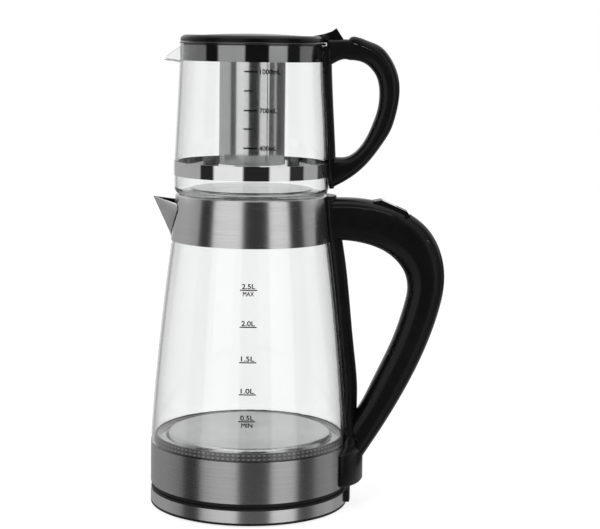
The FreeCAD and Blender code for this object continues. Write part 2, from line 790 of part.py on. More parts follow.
def kettle_spout():
    """A folded steel beak on the collar, open at the top, with its rim dipping from the tip to the collar."""
    low = size("collar_bottom + spout_foot_rise")
    high = size("collar_top")
    skin_low = size("collar_radius")
    reach = size("spout_reach")
    foot_reach = size("spout_foot_reach")
    sheet = size("spout_sheet")
    half = size("spout_half_width")
    foot_half = size("spout_foot_half_width")
    foot_round = size("spout_foot_round")
    outside = []
    inside = []
    for share in SPOUT_STATIONS:
        up = low + (high - low) * share
        skin = skin_low - size("collar_taper") * share
        nose = skin_low + foot_reach + (reach - foot_reach) * share ** 0.9
        width = foot_half + (half - foot_half) * share ** 0.8
        root = math.sqrt(skin ** 2 - width ** 2) - size("spout_lap")
        nose_round = foot_round + (size("spout_nose_round") - foot_round) * share
        inner_round = nose_round - sheet * (2 + share) / 3
        outside.append(beak_section(up, nose, width, root, nose_round))
        inside.append(beak_section(up, nose - sheet * 1.5, width - sheet * 1.1, root, inner_round))
    shell = Part.makeLoft(outside, True, False)
    hollow = Part.makeLoft(inside, True, False)
    tip = (-(skin_low + 2 * reach), high - size("spout_tip_drop"))
    rim = (-(size("collar_top_radius - spout_rim_inset")), high - size("spout_dip"))
    above = prism([tip, rim, (rim[0], high + reach), (tip[0], high + reach)], half * 2)
    collar = Part.makeCone(skin_low, size("collar_top_radius"), size("collar_height"),
                           Vector(0, 0, size("collar_bottom")))
    return keep(shaped("kettle_spout", one_solid(shell.cut(hollow).cut(above).cut(collar))))


# ---------------------------------------------------------------- moulded straps and handles

def saddle_section(up, inner, half_width, outer, edge):
    """A closed wire at one height: a concave back about Z, thin edges and a convex front at +X."""
    back_edge = math.sqrt(inner ** 2 - half_width ** 2)
    front_edge = back_edge + edge
    back_low = Vector(back_edge, -half_width, up)
    back_high = Vector(back_edge, half_width, up)
    front_low = Vector(front_edge, -half_width, up)
    front_high = Vector(front_edge, half_width, up)
    back = Part.Arc(back_high, Vector(inner, 0, up), back_low)
    front = Part.Arc(front_low, Vector(outer, 0, up), front_high)
    return Part.Wire([back.toShape(), Part.LineSegment(back_low, front_low).toShape(), front.toShape(),
                      Part.LineSegment(front_high, back_high).toShape()])


def rounded_section(outer, inner, width, power):
    """A closed superellipse through an outer and an inner point of the handle's plane, as four quarters."""
    middle = (outer + inner) * 0.5
    along = (outer - inner) * 0.5
    across = Vector(0, width / 2, 0)
    edges = []
    axes = [along, across, along * -1, across * -1, along]
    for first, second in zip(axes, axes[1:]):
        points = []
        for index in range(QUARTER_POINTS):
            angle = math.pi / 2 * index / (QUARTER_POINTS - 1)
            points.append(middle + first * abs(math.cos(angle)) ** (2 / power)
                          + second * abs(math.sin(angle)) ** (2 / power))
        points[0] = middle + first
        points[-1] = middle + second
        quarter = Part.BSplineCurve()
        quarter.interpolate(points, InitialTangent=second, FinalTangent=first * -1)
        edges.append(quarter.toShape())
    return Part.Wire(edges)


def handle_points(stations, left, reach, low, high):
    """The outer and inner points of the stations, in the handle's plane."""
    pairs = []
    for out_across, out_up, in_across, in_up, share, power in stations:
        pairs.append((Vector(left + reach * out_across, 0, low + (high - low) * out_up),
                      Vector(left + reach * in_across, 0, low + (high - low) * in_up), share, power))
    return pairs


def handle_form(pairs, width):
    wires = [rounded_section(outer, inner, width * share, power) for outer, inner, share, power in pairs]
    return Part.makeLoft(wires, True, False)


def outside_parting(pairs, depth, margin):
    """A slab outside the line that runs a set depth within the handle's outer edge."""
    line = [pair[0] + (pair[1] - pair[0]).normalize() * depth for pair in pairs]
    curve = Part.BSplineCurve()
    curve.interpolate(line)
    last = line[-1] + (pairs[-1][0] - line[-1]).normalize() * margin
    above = line[0] + Vector(0, 0, margin * 3)
    right = max(point.x for point in line) + margin * 3
    corners = [line[-1], last, Vector(right, 0, last.z), Vector(right, 0, above.z), above, line[0]]
    sides = [Part.LineSegment(start, end).toShape() for start, end in zip(corners, corners[1:])]
    face = Part.Face(Part.Wire([curve.toShape()] + sides))
    face.translate(Vector(0, -margin * 4, 0))
    return face.extrude(Vector(0, margin * 8, 0))


def kettle_pairs():
    return handle_points(KETTLE_STATIONS, size("collar_radius"), size("handle_reach"), size("handle_foot"),
                         size("collar_top"))


def teapot_pairs(stations):
    return handle_points(stations, size("pot_neck_radius"), size("pot_handle_reach"), size("pot_bottom"),
                         size("arm_top"))


def glass_skin(up):
    """The kettle glass's outer radius at a height: the chord of its taper plus the bow."""
    low = size("glass_bottom + glass_foot")
    high = size("collar_bottom - 2 * glass_wall")
    wide = size("glass_radius")
    narrow = size("glass_neck_radius + glass_neck_taper / 2")
    share = min(max((up - low) / (high - low), 0), 1)
    chord = math.hypot(high - low, wide - narrow)
    sag = 4 * share * (1 - share) * chord ** 2 / (8 * size("glass_bow"))
    return wide + (narrow - wide) * share + sag


def kettle_strap_shape():
    """The strap's solid: its back follows the collar and the glass, and its wide foot lies on the skirt."""
    collar_low = size("collar_bottom")
    collar_high = size("collar_top")
    gap = size("strap_gap")
    depth = size("strap_depth")
    edge = size("strap_edge")
    half = size("strap_half_width")
    flare = size("strap_flare")
    foot_low = size("handle_foot")
    foot_high = foot_low + size("foot_rise")
    near = size("collar_clearance")
    spare = 2 * near
    sections = []
    thin = size("strap_top_depth")
    for share, grown in COLLAR_STRAP_STATIONS:
        thick = thin + (depth - thin) * grown
        up = collar_low + (collar_high - collar_low) * share
        inner = size("collar_radius") - size("collar_taper") * share + near
        sections.append(saddle_section(up, inner - spare, half, inner + thick, edge + spare))
    glass_low = foot_high + size("foot_rise") * 0.35
    for share in (0.9, 0.7, 0.45, 0.22, 0.0):
        up = glass_low + (collar_low - glass_low) * share
        inner = glass_skin(up) + gap
        sections.append(saddle_section(up, inner - spare, half + flare * (1 - share) ** 1.5, inner + depth,
                                       edge + spare))
    strap = Part.makeLoft(sections, True, False)
    inner = size("skirt_radius") + near - spare
    outer = size("skirt_radius") + size("foot_depth")
    wide = size("foot_half_width")
    rim = edge + spare
    soft = size("foot_round")
    front = outer - size("foot_shoulder_setback")
    above_foot = half + flare
    glass_front = glass_skin(glass_low) + gap + depth
    foot = Part.makeLoft([
        saddle_section(foot_low, inner, wide - soft, outer - size("foot_setback"), rim),
        saddle_section(foot_low + soft, inner, wide, outer, rim),
        saddle_section(foot_high - soft, inner, wide, outer, rim),
        saddle_section(foot_high + size("foot_shoulder"), inner, above_foot + soft, front, rim),
        saddle_section(glass_low + size("foot_lap"), inner, above_foot, glass_front, rim)], True, True)
    return one_solid(strap.fuse(foot).cut(kettle_envelope()).removeSplitter())


def kettle_envelope():
    """All the space inside the strap's back: the skirt, the glass and the collar, each with its clearance."""
    near = size("collar_clearance")
    gap = size("strap_gap")
    low = size("handle_foot - foot_rise")
    foot_top = size("glass_bottom + glass_foot")
    waist = size("collar_bottom - 2 * glass_wall")
    middle = (foot_top + waist) / 2
    skirt = size("skirt_radius") + near
    glass = size("glass_radius") + gap
    points = [Vector(0, 0, low), Vector(skirt, 0, low), Vector(skirt, 0, size("glass_bottom")),
              Vector(glass, 0, size("glass_bottom") + near), Vector(glass, 0, foot_top)]
    upper = [Vector(glass_skin(waist) + gap, 0, waist),
             Vector(size("collar_radius") + near, 0, size("collar_bottom") - near),
             Vector(size("collar_top_radius") + near, 0, size("collar_top")),
             Vector(size("collar_top_radius") + near, 0, size("pot_bottom + band_rise")),
             Vector(0, 0, size("pot_bottom + band_rise")), points[0]]
    edges = [Part.LineSegment(start, end).toShape() for start, end in zip(points, points[1:])]
    edges.append(Part.Arc(points[-1], Vector(glass_skin(middle) + gap, 0, middle), upper[0]).toShape())
    edges += [Part.LineSegment(start, end).toShape() for start, end in zip(upper, upper[1:])]
    return spun(edges)


def paddle_frame():
    """Where the switch lies: its front point on the handle's top, the way back along it, and its normal."""
    pairs = kettle_pairs()
    front = pairs[2][0] + (pairs[3][0] - pairs[2][0]) * 0.45
    back = (pairs[4][0] - front).normalize()
    normal = Vector(-back.z, 0, back.x)
    return front, back, normal


def paddle_profile(grow, deeper):
    """The wedge in the handle's plane, grown by a clearance and sunk deeper at its front."""
    front, back, normal = paddle_frame()
    length = size("paddle_length")
    tall = size("paddle_height")
    deep = size("paddle_depth")
    local = [(-grow, -deep - deeper), (-grow, size("paddle_nose"))]
    local += [(length * along, tall * level) for along, level in PADDLE_CREST]
    local += [(length + grow, -size("paddle_tail_drop")), (length + grow, -deep - grow)]
    return [(front + back * along + normal * (level + (grow if level > 0 else 0))) for along, level in local]


def flat_points(points):
    return [(point.x, point.z) for point in points]


def paddle_pin_place():
    front, back, normal = paddle_frame()
    along = size("paddle_length - paddle_pin_inset")
    return front + back * along - normal * size("paddle_depth - paddle_pin_rise")


def kettle_handle():
    """Strap, grip, back cover, and the switch that lies in the top of the handle."""
    strap = kettle_strap_shape()
    pairs = kettle_pairs()
    form = handle_form(pairs, size("handle_width"))
    form = one_solid(form.cut(strap).cut(kettle_envelope()))
    outside = outside_parting(pairs, size("handle_parting") - size("parting_gap"), size("handle_width"))
    inside = outside_parting(pairs, size("handle_parting"), size("handle_width"))
    width = size("paddle_width") / 2 + size("paddle_gap")
    room = paddle_profile(size("paddle_gap"), size("paddle_travel + paddle_floor_gap"))
    pocket = prism(flat_points(room), width)
    pin_place = paddle_pin_place()
    pin_length = size("paddle_width + 2 * paddle_pin_grip")
    bore = crosswise_rod(size("paddle_pin_radius"), pin_length, pin_place.x, pin_place.z)
    cover = one_solid(form.common(outside).cut(pocket).cut(bore))
    grip = one_solid(form.cut(inside).cut(pocket).cut(bore))
    keep(shaped("handle_strap", strap))
    keep(shaped("handle_grip", grip))
    keep(shaped("handle_back_cover", cover))
    keep(shaped("switch_pin", bore))


def switch_paddle():
    half = size("paddle_width") / 2
    body = prism(flat_points(paddle_profile(0, 0)), half)
    pin_place = paddle_pin_place()
    hole = crosswise_rod(size("paddle_pin_radius + pin_fit"), size("paddle_width * 2"), pin_place.x,
                         pin_place.z)
    front, back, normal = paddle_frame()
    length = size("paddle_length")
    plate = size("trim_plate")
    tall = size("paddle_height")
    first, last = [front + back * (length * along) + normal * (tall * level - plate)
                   for along, level in PLATE_SPAN]
    above = normal * (plate + tall)
    recess = prism(flat_points([first, last, last + above, first + above]), half - size("trim_margin"))
    trim = body.common(recess)
    keep(shaped("switch_paddle", one_solid(body.cut(recess).cut(hole))))
    keep(shaped("switch_paddle_trim", one_solid(trim)))


# ---------------------------------------------------------------- teapot

def teapot_glass():
    """A blown jug: a ring foot, a straight taper to the neck and a pulled lip, all one piece of glass."""
    wall = size("pot_wall")
    low = size("pot_bottom")
    rim = size("pot_rim")
    wide = size("pot_radius")
    neck = size("pot_neck_radius")
    bend = size("pot_foot_round")
    shoulder = low + size("pot_shoulder")
    neck_low = rim - size("pot_neck")
    parting = size("parting_gap")

    def jug(offset):
        radius = wide - offset
        round_off = bend - offset * 0.5
        floor = low + offset
        middle = low + offset + bend * 0.6
        land = wide - bend - size("pot_foot_land")
        dish = land - size("pot_foot_slope")
        lines = [
            (Vector(0, 0, middle), Vector(dish, 0, middle)),
            (Vector(dish, 0, middle), Vector(land, 0, floor)),
            (Vector(land, 0, floor), Vector(radius - round_off, 0, floor))]
        corner = Part.Arc(Vector(radius - round_off, 0, floor),
                          Vector(radius - round_off * 0.293, 0, floor + round_off * 0.293),
                          Vector(radius, 0, floor + round_off))
        upper = [
            (Vector(radius, 0, floor + round_off), Vector(radius, 0, shoulder)),
            (Vector(radius, 0, shoulder), Vector(neck - offset, 0, neck_low)),
            (Vector(neck - offset, 0, neck_low), Vector(neck - offset, 0, rim)),
            (Vector(neck - offset, 0, rim), Vector(0, 0, rim)),
            (Vector(0, 0, rim), Vector(0, 0, middle))]
        edges = [Part.LineSegment(a, b).toShape() for a, b in lines]
        edges.append(corner.toShape())
        edges += [Part.LineSegment(a, b).toShape() for a, b in upper]
        return Part.Face(Part.Wire(edges)).revolve(Vector(), Vector(0, 0, 1), 360)

    outside = jug(0.0)
    inside = jug(wall)
    trough = lip_form(0.0)
    channel = lip_form(wall * 0.7)
    start = wall / 2 - neck
    beyond = -neck - 2 * size("pot_spout_reach")
    drop = (start - beyond) * size("pot_spout_slope")
    sky = prism([(beyond, rim - drop), (start, rim - parting), (0, rim), (0, 2 * rim), (beyond, 2 * rim)],
                neck)
    glass = outside.fuse(trough.cut(sky)).cut(inside).cut(channel)
    return keep(shaped("teapot_glass", one_solid(glass)))


def lip_form(offset):
    """The pulled lip's solid form: upright arched sections that shrink from the neck to the tip."""
    rim = size("pot_rim")
    neck = size("pot_neck_radius")
    reach = size("pot_spout_reach")
    half = size("pot_spout_half_width")
    tip_half = size("pot_spout_tip_half_width")
    lap = size("pot_spout_lap")
    depth = size("pot_spout_depth")
    top = rim + depth / 2
    wires = []
    for share in (0.0, 0.5, 1.0):
        across = -(neck - lap + (reach + lap - offset * 1.4) * share)
        floor = rim - depth + size("pot_spout_floor_rise") * share + offset
        width = half + (tip_half - half) * share - offset * (1 - share / 3)
        edge = floor + width * 0.7 + size("pot_spout_edge")
        corners = [Vector(across, width, edge), Vector(across, width, top), Vector(across, -width, top),
                   Vector(across, -width, edge)]
        sides = [Part.LineSegment(start, end).toShape() for start, end in zip(corners, corners[1:])]
        under = Part.Arc(corners[-1], Vector(across, 0, floor), corners[0]).toShape()
        wires.append(Part.Wire([under] + sides))
    return Part.makeLoft(wires, True, False)


def teapot_band():
    """The clamp band round the glass, which holds the foot of the handle's strap."""
    inner = "pot_radius + band_fit"
    return keep(turned("teapot_band", tube_section(inner + " + band_sheet", inner, "band_bottom",
                                                    "band_bottom + band_height")))


def pot_skin(up):
    shoulder = size("pot_bottom + pot_shoulder")
    neck_low = size("pot_rim - pot_neck")
    share = min(max((up - shoulder) / (neck_low - shoulder), 0), 1)
    return size("pot_radius") + (size("pot_neck_radius") - size("pot_radius")) * share


def teapot_handle():
    """Bracket with the hinge ears and the strap, grip, back cover and the hinge pin."""
    low = size("pot_bottom")
    rim = size("pot_rim")
    gap = size("pot_strap_gap")
    depth = size("pot_strap_depth")
    half = size("pot_strap_half_width")
    edge = size("pot_strap_edge")
    sections = []
    for height_share, depth_share, width_share in POT_STRAP_STATIONS:
        up = low + (rim - low) * height_share
        inner = pot_skin(up) + gap
        sections.append(saddle_section(up, inner, half * width_share, inner + depth * depth_share, edge))
    strap = Part.makeLoft(sections, True, False)
    root = size("pot_neck_radius") + gap
    arm_end = size("arm_end")
    arm_top = size("arm_top")
    width = size("pot_handle_width")
    inside_pot = Part.makeCylinder(root, size("pot_height"), Vector(0, 0, low))
    arm_space = block(0, arm_end, width, rim - size("slot_length"), arm_top + width)
    arm = handle_form(teapot_pairs(ARM_STATIONS), width).common(arm_space).cut(inside_pot)
    lid_room = block(0, root + size("ear_setback"), half * 2, rim - size("lid_drop"), arm_top + width)
    slot_low = arm_top - size("slot_depth")
    slot = block(root - depth, root + size("slot_length"), size("slot_width") / 2, slot_low, arm_top + width)
    across = size("pot_arm_width")
    pin = crosswise_rod(size("hinge_pin_radius"), across, size("hinge_x"), size("hinge_z"))
    bore = crosswise_rod(size("hinge_pin_radius"), 2 * across, size("hinge_x"), size("hinge_z"))
    bracket = strap.fuse(arm).cut(lid_room).cut(slot).cut(bore)
    pairs = teapot_pairs(TEAPOT_STATIONS)
    form = handle_form(pairs, width)
    belly = Part.makeCylinder(size("pot_radius") + gap, size("pot_height"), Vector(0, 0, low))
    form = one_solid(form.cut(bracket).cut(slot).cut(belly))
    outside = outside_parting(pairs, size("handle_parting") - size("parting_gap"), width)
    inside = outside_parting(pairs, size("handle_parting"), width)
    keep(shaped("teapot_bracket", one_solid(bracket)))
    keep(shaped("teapot_handle_grip", one_solid(form.cut(inside))))
    keep(shaped("teapot_handle_cover", one_solid(form.common(outside))))
    keep(shaped("lid_hinge_pin", pin))


def infuser_collar():
    """A steel ring in the glass neck: a lip over the rim, a straight wall and a web in to the tube."""
    outer = "infuser_outer"
    inner = "infuser_outer - infuser_sheet"
    flange = "pot_neck_radius - infuser_gap"
    seat = "infuser_top - infuser_sheet"
    hole = "infuser_radius + parting_gap"
    return keep(turned("infuser_collar", [
        (hole, "infuser_web"), (outer, "infuser_web"), (outer, seat), (flange, seat), (flange, "infuser_top"),
        (inner, "infuser_top"), (inner, "infuser_web + infuser_sheet"),
        (hole, "infuser_web + infuser_sheet")]))


def infuser_tube():
    """The long strainer for the leaves, hung by its flange from the collar's web."""
    inner = "infuser_radius - infuser_sheet"
    seat = "infuser_web + infuser_sheet"
    low = seat + " - infuser_length"
    return keep(turned("infuser_tube", [
        (inner, low), ("infuser_radius", low), ("infuser_radius", seat),
        ("infuser_radius + infuser_flange", seat),
        ("infuser_radius + infuser_flange", seat + " + infuser_sheet"), (inner, seat + " + infuser_sheet")]))


def infuser_base():
    """The strainer's pressed bottom cap, with its rim turned up inside the tube."""
    low = "infuser_web + infuser_sheet - infuser_length"
    outer = "infuser_radius - infuser_sheet - parting_gap"
    return keep(turned("infuser_base", [
        ("0", low), (outer, low), (outer, low + " + 5 * infuser_sheet"),
        (outer + " - infuser_sheet", low + " + 5 * infuser_sheet"),
        (outer + " - infuser_sheet", low + " + infuser_sheet"), ("0", low + " + infuser_sheet")]))


# ---------------------------------------------------------------- lid

def lid_hinge_hole():
    return crosswise_rod(size("hinge_pin_radius + pin_fit"), size("pot_arm_width * 2"), size("hinge_x"),
                         size("hinge_z"))


def lid_cover():
    """The domed upper shell, with the thumb tab and the hinge knuckle at its back."""
    radius = size("lid_radius - lid_step")
    low = size("lid_bottom + lid_rim + lid_groove")
    shell = size("lid_shell")
    dome = size("lid_dome")
    wall = size("lid_wall")

    def cap(offset):
        """The shell's solid form: an upright side, a rounded shoulder and a shallow spherical crown."""
        side = low + shell * 0.55
        shoulder = radius - size("lid_shoulder")
        deck = low + shell - offset
        ball = (shoulder ** 2 + dome ** 2) / (2 * dome)
        half_angle = math.asin(shoulder / ball) / 2
        crown = Vector(ball * math.sin(half_angle), 0, deck + dome - ball * (1 - math.cos(half_angle)))
        edges = [
            Part.LineSegment(Vector(0, 0, low), Vector(radius - offset, 0, low)).toShape(),
            Part.LineSegment(Vector(radius - offset, 0, low), Vector(radius - offset, 0, side)).toShape(),
            Part.Arc(Vector(radius - offset, 0, side),
                     Vector(radius - offset - size("lid_round"), 0, side + shell * 0.38 - offset * 0.6),
                     Vector(shoulder, 0, deck)).toShape(),
            Part.Arc(Vector(shoulder, 0, deck), crown, Vector(0, 0, deck + dome)).toShape(),
            Part.LineSegment(Vector(0, 0, deck + dome), Vector(0, 0, low)).toShape()]
        return spun(edges)

    x = size("hinge_x")
    z = size("hinge_z")
    tall = size("tab_height")
    knuckle = size("hinge_knuckle")
    half = size("tab_width") / 2
    deck = low + shell
    points = [(radius + knuckle * TAB_ON_DECK[0][0], low)]
    points += [(radius + knuckle * across, deck + tall * up) for across, up in TAB_ON_DECK]
    points.append((x + knuckle * TAB_FRONT_FOOT[0], deck + tall * TAB_FRONT_FOOT[1]))
    points += [(x + knuckle * across, z + tall * up) for across, up in TAB_AT_HINGE]
    points.append((x + knuckle * TAB_ROOT, low))
    tab = prism(points, half)
    barrel = crosswise_rod(knuckle, size("tab_width"), x, z)
    hollow = cap(wall)
    ring = cap(0.0).cut(hollow)
    cover = ring.fuse(tab).fuse(barrel).cut(lid_hinge_hole())
    keep(shaped("lid_cover", one_solid(cover)))


def lid_rim_plate():
    """The lid's lower plate, which sits on the infuser's lip."""
    keep(turned("lid_rim_plate", [
        ("0", "lid_bottom"), ("lid_radius", "lid_bottom"), ("lid_radius", "lid_bottom + lid_rim"),
        ("0", "lid_bottom + lid_rim")]))


def lid_seal():
    keep(turned("lid_seal", tube_section("lid_plug_radius", "lid_plug_radius - lid_plug_wall",
                                          "lid_bottom - lid_plug_height", "lid_bottom")))


# ---------------------------------------------------------------- build and export

def build():
    fill_sheets()
    base_housing()
    base_trim_ring()
    base_floor()
    base_feet()
    base_socket()
    base_contacts()
    cord_outlet()
    base_screws()
    kettle_coupler()
    kettle_underside()
    kettle_skirt()
    heating_plate()
    heat_spreader()
    heating_element()
    thermostat_control()
    plate_gasket()
    underside_screws()
    kettle_glass()
    kettle_collar()
    neck_seal()
    kettle_spout()
    kettle_handle()
    switch_paddle()
    teapot_glass()
    teapot_band()
    teapot_handle()
    infuser_collar()
    infuser_tube()
    infuser_base()
    lid_cover()
    lid_rim_plate()
    lid_seal()
    doc.recompute()


def check():
    """Stops the build if any object failed or any finished sub-part isn't a valid closed shape."""
    for item in doc.Objects:
        if "Invalid" in item.State or "Error" in item.State:
            raise RuntimeError(item.Name + " failed to recompute")
    for item in finished:
        shape = item.Shape
        if shape.isNull() or not shape.isValid() or not shape.Solids:
            raise RuntimeError(item.Label + " has no valid solid")


def export():
    os.makedirs("parts", exist_ok=True)
    for item in finished:
        item.Shape.exportStep(os.path.join("parts", item.Label + ".step"))
        print("%-22s %d solid(s), %9.1f mm3" % (item.Label, len(item.Shape.Solids), item.Shape.Volume))


build()
check()
export()
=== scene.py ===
import json
import math

import bmesh
import bpy
import numpy as np
from mathutils import Euler, Matrix, Vector

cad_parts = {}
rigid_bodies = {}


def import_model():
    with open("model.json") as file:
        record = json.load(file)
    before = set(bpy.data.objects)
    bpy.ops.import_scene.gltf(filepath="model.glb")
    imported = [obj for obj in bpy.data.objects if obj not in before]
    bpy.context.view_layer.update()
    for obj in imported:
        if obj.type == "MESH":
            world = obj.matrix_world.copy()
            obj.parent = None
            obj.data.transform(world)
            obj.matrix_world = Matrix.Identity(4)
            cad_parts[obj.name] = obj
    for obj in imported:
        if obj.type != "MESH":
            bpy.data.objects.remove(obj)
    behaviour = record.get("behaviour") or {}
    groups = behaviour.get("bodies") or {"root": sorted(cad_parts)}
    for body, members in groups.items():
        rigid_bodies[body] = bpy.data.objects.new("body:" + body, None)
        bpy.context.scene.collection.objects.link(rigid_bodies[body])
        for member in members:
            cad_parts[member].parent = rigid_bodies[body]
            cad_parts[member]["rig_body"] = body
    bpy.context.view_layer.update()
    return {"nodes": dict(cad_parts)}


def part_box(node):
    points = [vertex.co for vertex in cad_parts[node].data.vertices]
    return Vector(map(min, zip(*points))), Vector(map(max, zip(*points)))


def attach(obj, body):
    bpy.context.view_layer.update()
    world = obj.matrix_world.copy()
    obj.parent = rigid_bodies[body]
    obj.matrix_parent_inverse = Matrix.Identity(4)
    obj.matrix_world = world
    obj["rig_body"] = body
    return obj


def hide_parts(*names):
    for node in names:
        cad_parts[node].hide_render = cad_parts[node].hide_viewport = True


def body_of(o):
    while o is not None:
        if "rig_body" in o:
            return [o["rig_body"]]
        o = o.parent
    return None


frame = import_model()
nodes = frame["nodes"]
print("frame loaded:", len(nodes), "nodes")


# camera and studio

cameraSettings = {
    "place": (0.0421, -1.405, 0.402),
    "pitchDown": 7.89,  # degrees
    "roll": 0.79,
    "lens": 99.42,
    "sensor": 36.0,
}


def makeCamera(values):
    data = bpy.data.cameras.new("studioCamera")
    data.lens = values["lens"]
    data.sensor_width = values["sensor"]
    camera = bpy.data.objects.new("studioCamera", data)
    bpy.context.scene.collection.objects.link(camera)
    pitch = Euler((math.radians(90 - values["pitchDown"]), 0, 0)).to_matrix().to_4x4()
    camera.matrix_world = (Matrix.Translation(values["place"]) @ pitch
                           @ Matrix.Rotation(math.radians(values["roll"]), 4, "Z"))
    bpy.context.scene.camera = camera


makeCamera(cameraSettings)
bpy.context.scene.view_settings.view_transform = "Standard"

studioSettings = {
    # the soft boxes and black cards that polished metal sees: degrees round from the front, brightness
    "ring": [(-180, 0.80), (-162, 0.80), (-154, 0.42), (-80, 0.42), (-77.5, 0.02), (-57, 0.02), (-54, 0.90),
             (-12, 0.92), (-9.5, 0.02), (26.5, 0.02), (29, 0.90), (57.5, 0.90), (60, 0.03), (82, 0.03),
             (85.5, 0.40), (112, 0.40), (118, 0.05), (152, 0.05), (164, 0.80), (180, 0.80)],
    # the same round of cards lower down, where the skirt and the base ring look
    "lowRing": [(-180, 0.24), (-165, 0.33), (-112, 0.36), (-92, 0.24), (-80, 0.08), (-62, 0.05), (-50, 0.36),
                (-38, 0.60), (-12, 0.66), (-9, 0.17), (25, 0.17), (28, 0.74), (55, 0.74), (62, 0.11),
                (74, 0.10), (86, 0.26), (120, 0.46), (160, 0.40), (180, 0.24)],
    "lowStart": -0.225,  # height of the view line below which the lower round is seen
    "lowEnd": -0.245,
    "back": 0.85,
    "backStart": 0.06,
    "backEnd": 0.14,
    "backFade": 0.4,
    "zenith": 1.8,
    "zenithStart": 0.74,
    "zenithBlend": 0.15,
    "ambient": 0.72,
    # name, place, power
    "lamps": [("keyLamp", (-0.9, -1.1, 1.3), 9.0), ("fillLamp", (1.2, -0.7, 0.8), 5.0)],
    "lampAim": (0, 0, 0.2),
    "lampWidth": 0.9,
    "floorRadius": 3.5,
    "floorSides": 96,
    "floorDrop": 0.0002,
    "floorShadow": 0.30,
    "floorGlow": 0.80,
}


def grey(value):
    return (value, value, value, 1.0)


def node(tree, kind, **values):
    made = tree.nodes.new(kind)
    for label, value in values.items():
        made.inputs[label].default_value = value
    return made


def mathNode(tree, operation, first, second=None, clamp=False):
    made = tree.nodes.new("ShaderNodeMath")
    made.operation = operation
    made.use_clamp = clamp
    for index, value in enumerate((first, second)):
        if value is None:
            continue
        if isinstance(value, (int, float)):
            made.inputs[index].default_value = value
        else:
            tree.links.new(value, made.inputs[index])
    return made.outputs[0]


def ramp(tree, factor, stops):
    made = tree.nodes.new("ShaderNodeValToRGB")
    elements = made.color_ramp.elements
    while len(elements) < len(stops):
        elements.new(0.5)
    for element, (place, value) in zip(elements, stops):
        element.position = place
        element.color = grey(value)
    tree.links.new(factor, made.inputs["Fac"])
    return made.outputs["Color"]


def spread(tree, value, low, high):
    made = tree.nodes.new("ShaderNodeMapRange")
    made.inputs["From Min"].default_value = low
    made.inputs["From Max"].default_value = high
    tree.links.new(value, made.inputs["Value"])
    return made.outputs[0]


def blended(tree, factor, first, second):
    made = tree.nodes.new("ShaderNodeMix")
    made.data_type = "RGBA"
    tree.links.new(factor, made.inputs["Factor"])
    for index, value in ((6, first), (7, second)):
        if isinstance(value, tuple):
            made.inputs[index].default_value = value
        else:
            tree.links.new(value, made.inputs[index])
    return made.outputs[2]


# metal sees the round of cards, the bright wall behind and the soft light above; the camera and glass see
# white, and all else is lit evenly
def makeWorld(values):
    world = bpy.data.worlds.new("studio")
    bpy.context.scene.world = world
    world.use_nodes = True
    tree = world.node_tree
    tree.nodes.clear()
    direction = tree.nodes.new("ShaderNodeTexCoord").outputs["Generated"]
    split = tree.nodes.new("ShaderNodeSeparateXYZ")
    tree.links.new(direction, split.inputs[0])
    forwards = mathNode(tree, "MULTIPLY", split.outputs["Y"], -1.0)
    turn = mathNode(tree, "ARCTAN2", split.outputs["X"], forwards)
    share = mathNode(tree, "MULTIPLY_ADD", turn, 0.5 / math.pi)
    share.node.inputs[2].default_value = 0.5
    rings = [ramp(tree, share, [((degrees + 180) / 360, value) for degrees, value in values[name]])
             for name in ("ring", "lowRing")]
    low = spread(tree, split.outputs["Z"], values["lowStart"], values["lowEnd"])
    walls = blended(tree, low, rings[0], rings[1])
    raised = spread(tree, split.outputs["Z"], values["backStart"], values["backEnd"])
    behind = mathNode(tree, "MULTIPLY", raised, spread(tree, split.outputs["Y"], 0.0, values["backFade"]))
    walls = blended(tree, behind, walls, grey(values["back"]))
    zenithEnd = values["zenithStart"] + values["zenithBlend"]
    high = spread(tree, split.outputs["Z"], values["zenithStart"], zenithEnd)
    soft = blended(tree, high, walls, grey(values["zenith"]))
    seen = tree.nodes.new("ShaderNodeLightPath")
    straight = mathNode(tree, "LESS_THAN", seen.outputs["Glossy Depth"], 0.5)
    looking = mathNode(tree, "MAXIMUM", seen.outputs["Is Camera Ray"], seen.outputs["Is Transmission Ray"])
    backdrop = mathNode(tree, "MULTIPLY", straight, looking)
    mirrored = mathNode(tree, "GREATER_THAN", seen.outputs["Glossy Depth"], 0.5)
    plain = node(tree, "ShaderNodeBackground", Color=(1, 1, 1, 1), Strength=values["ambient"])
    white = node(tree, "ShaderNodeBackground", Color=(1, 1, 1, 1), Strength=1.0)
    cards = node(tree, "ShaderNodeBackground", Strength=1.0)
    tree.links.new(soft, cards.inputs["Color"])
    glossy = tree.nodes.new("ShaderNodeMixShader")
    tree.links.new(mirrored, glossy.inputs[0])
    tree.links.new(plain.outputs[0], glossy.inputs[1])
    tree.links.new(cards.outputs[0], glossy.inputs[2])
    final = tree.nodes.new("ShaderNodeMixShader")
    tree.links.new(backdrop, final.inputs[0])
    tree.links.new(glossy.outputs[0], final.inputs[1])
    tree.links.new(white.outputs[0], final.inputs[2])
    output = tree.nodes.new("ShaderNodeOutputWorld")
    tree.links.new(final.outputs[0], output.inputs["Surface"])


makeWorld(studioSettings)


def makeLamp(name, place, power, values):
    data = bpy.data.lights.new(name, "AREA")
    data.shape = "SQUARE"
    data.size = values["lampWidth"]
    data.energy = power
    lamp = bpy.data.objects.new(name, data)
    lamp.location = place
    direction = Vector(values["lampAim"]) - lamp.location
    lamp.rotation_euler = direction.to_track_quat("-Z", "Y").to_euler()
    lamp.visible_glossy = False
    lamp.visible_transmission = False
    bpy.context.scene.collection.objects.link(lamp)


for name, place, power in studioSettings["lamps"]:
    makeLamp(name, place, power, studioSettings)


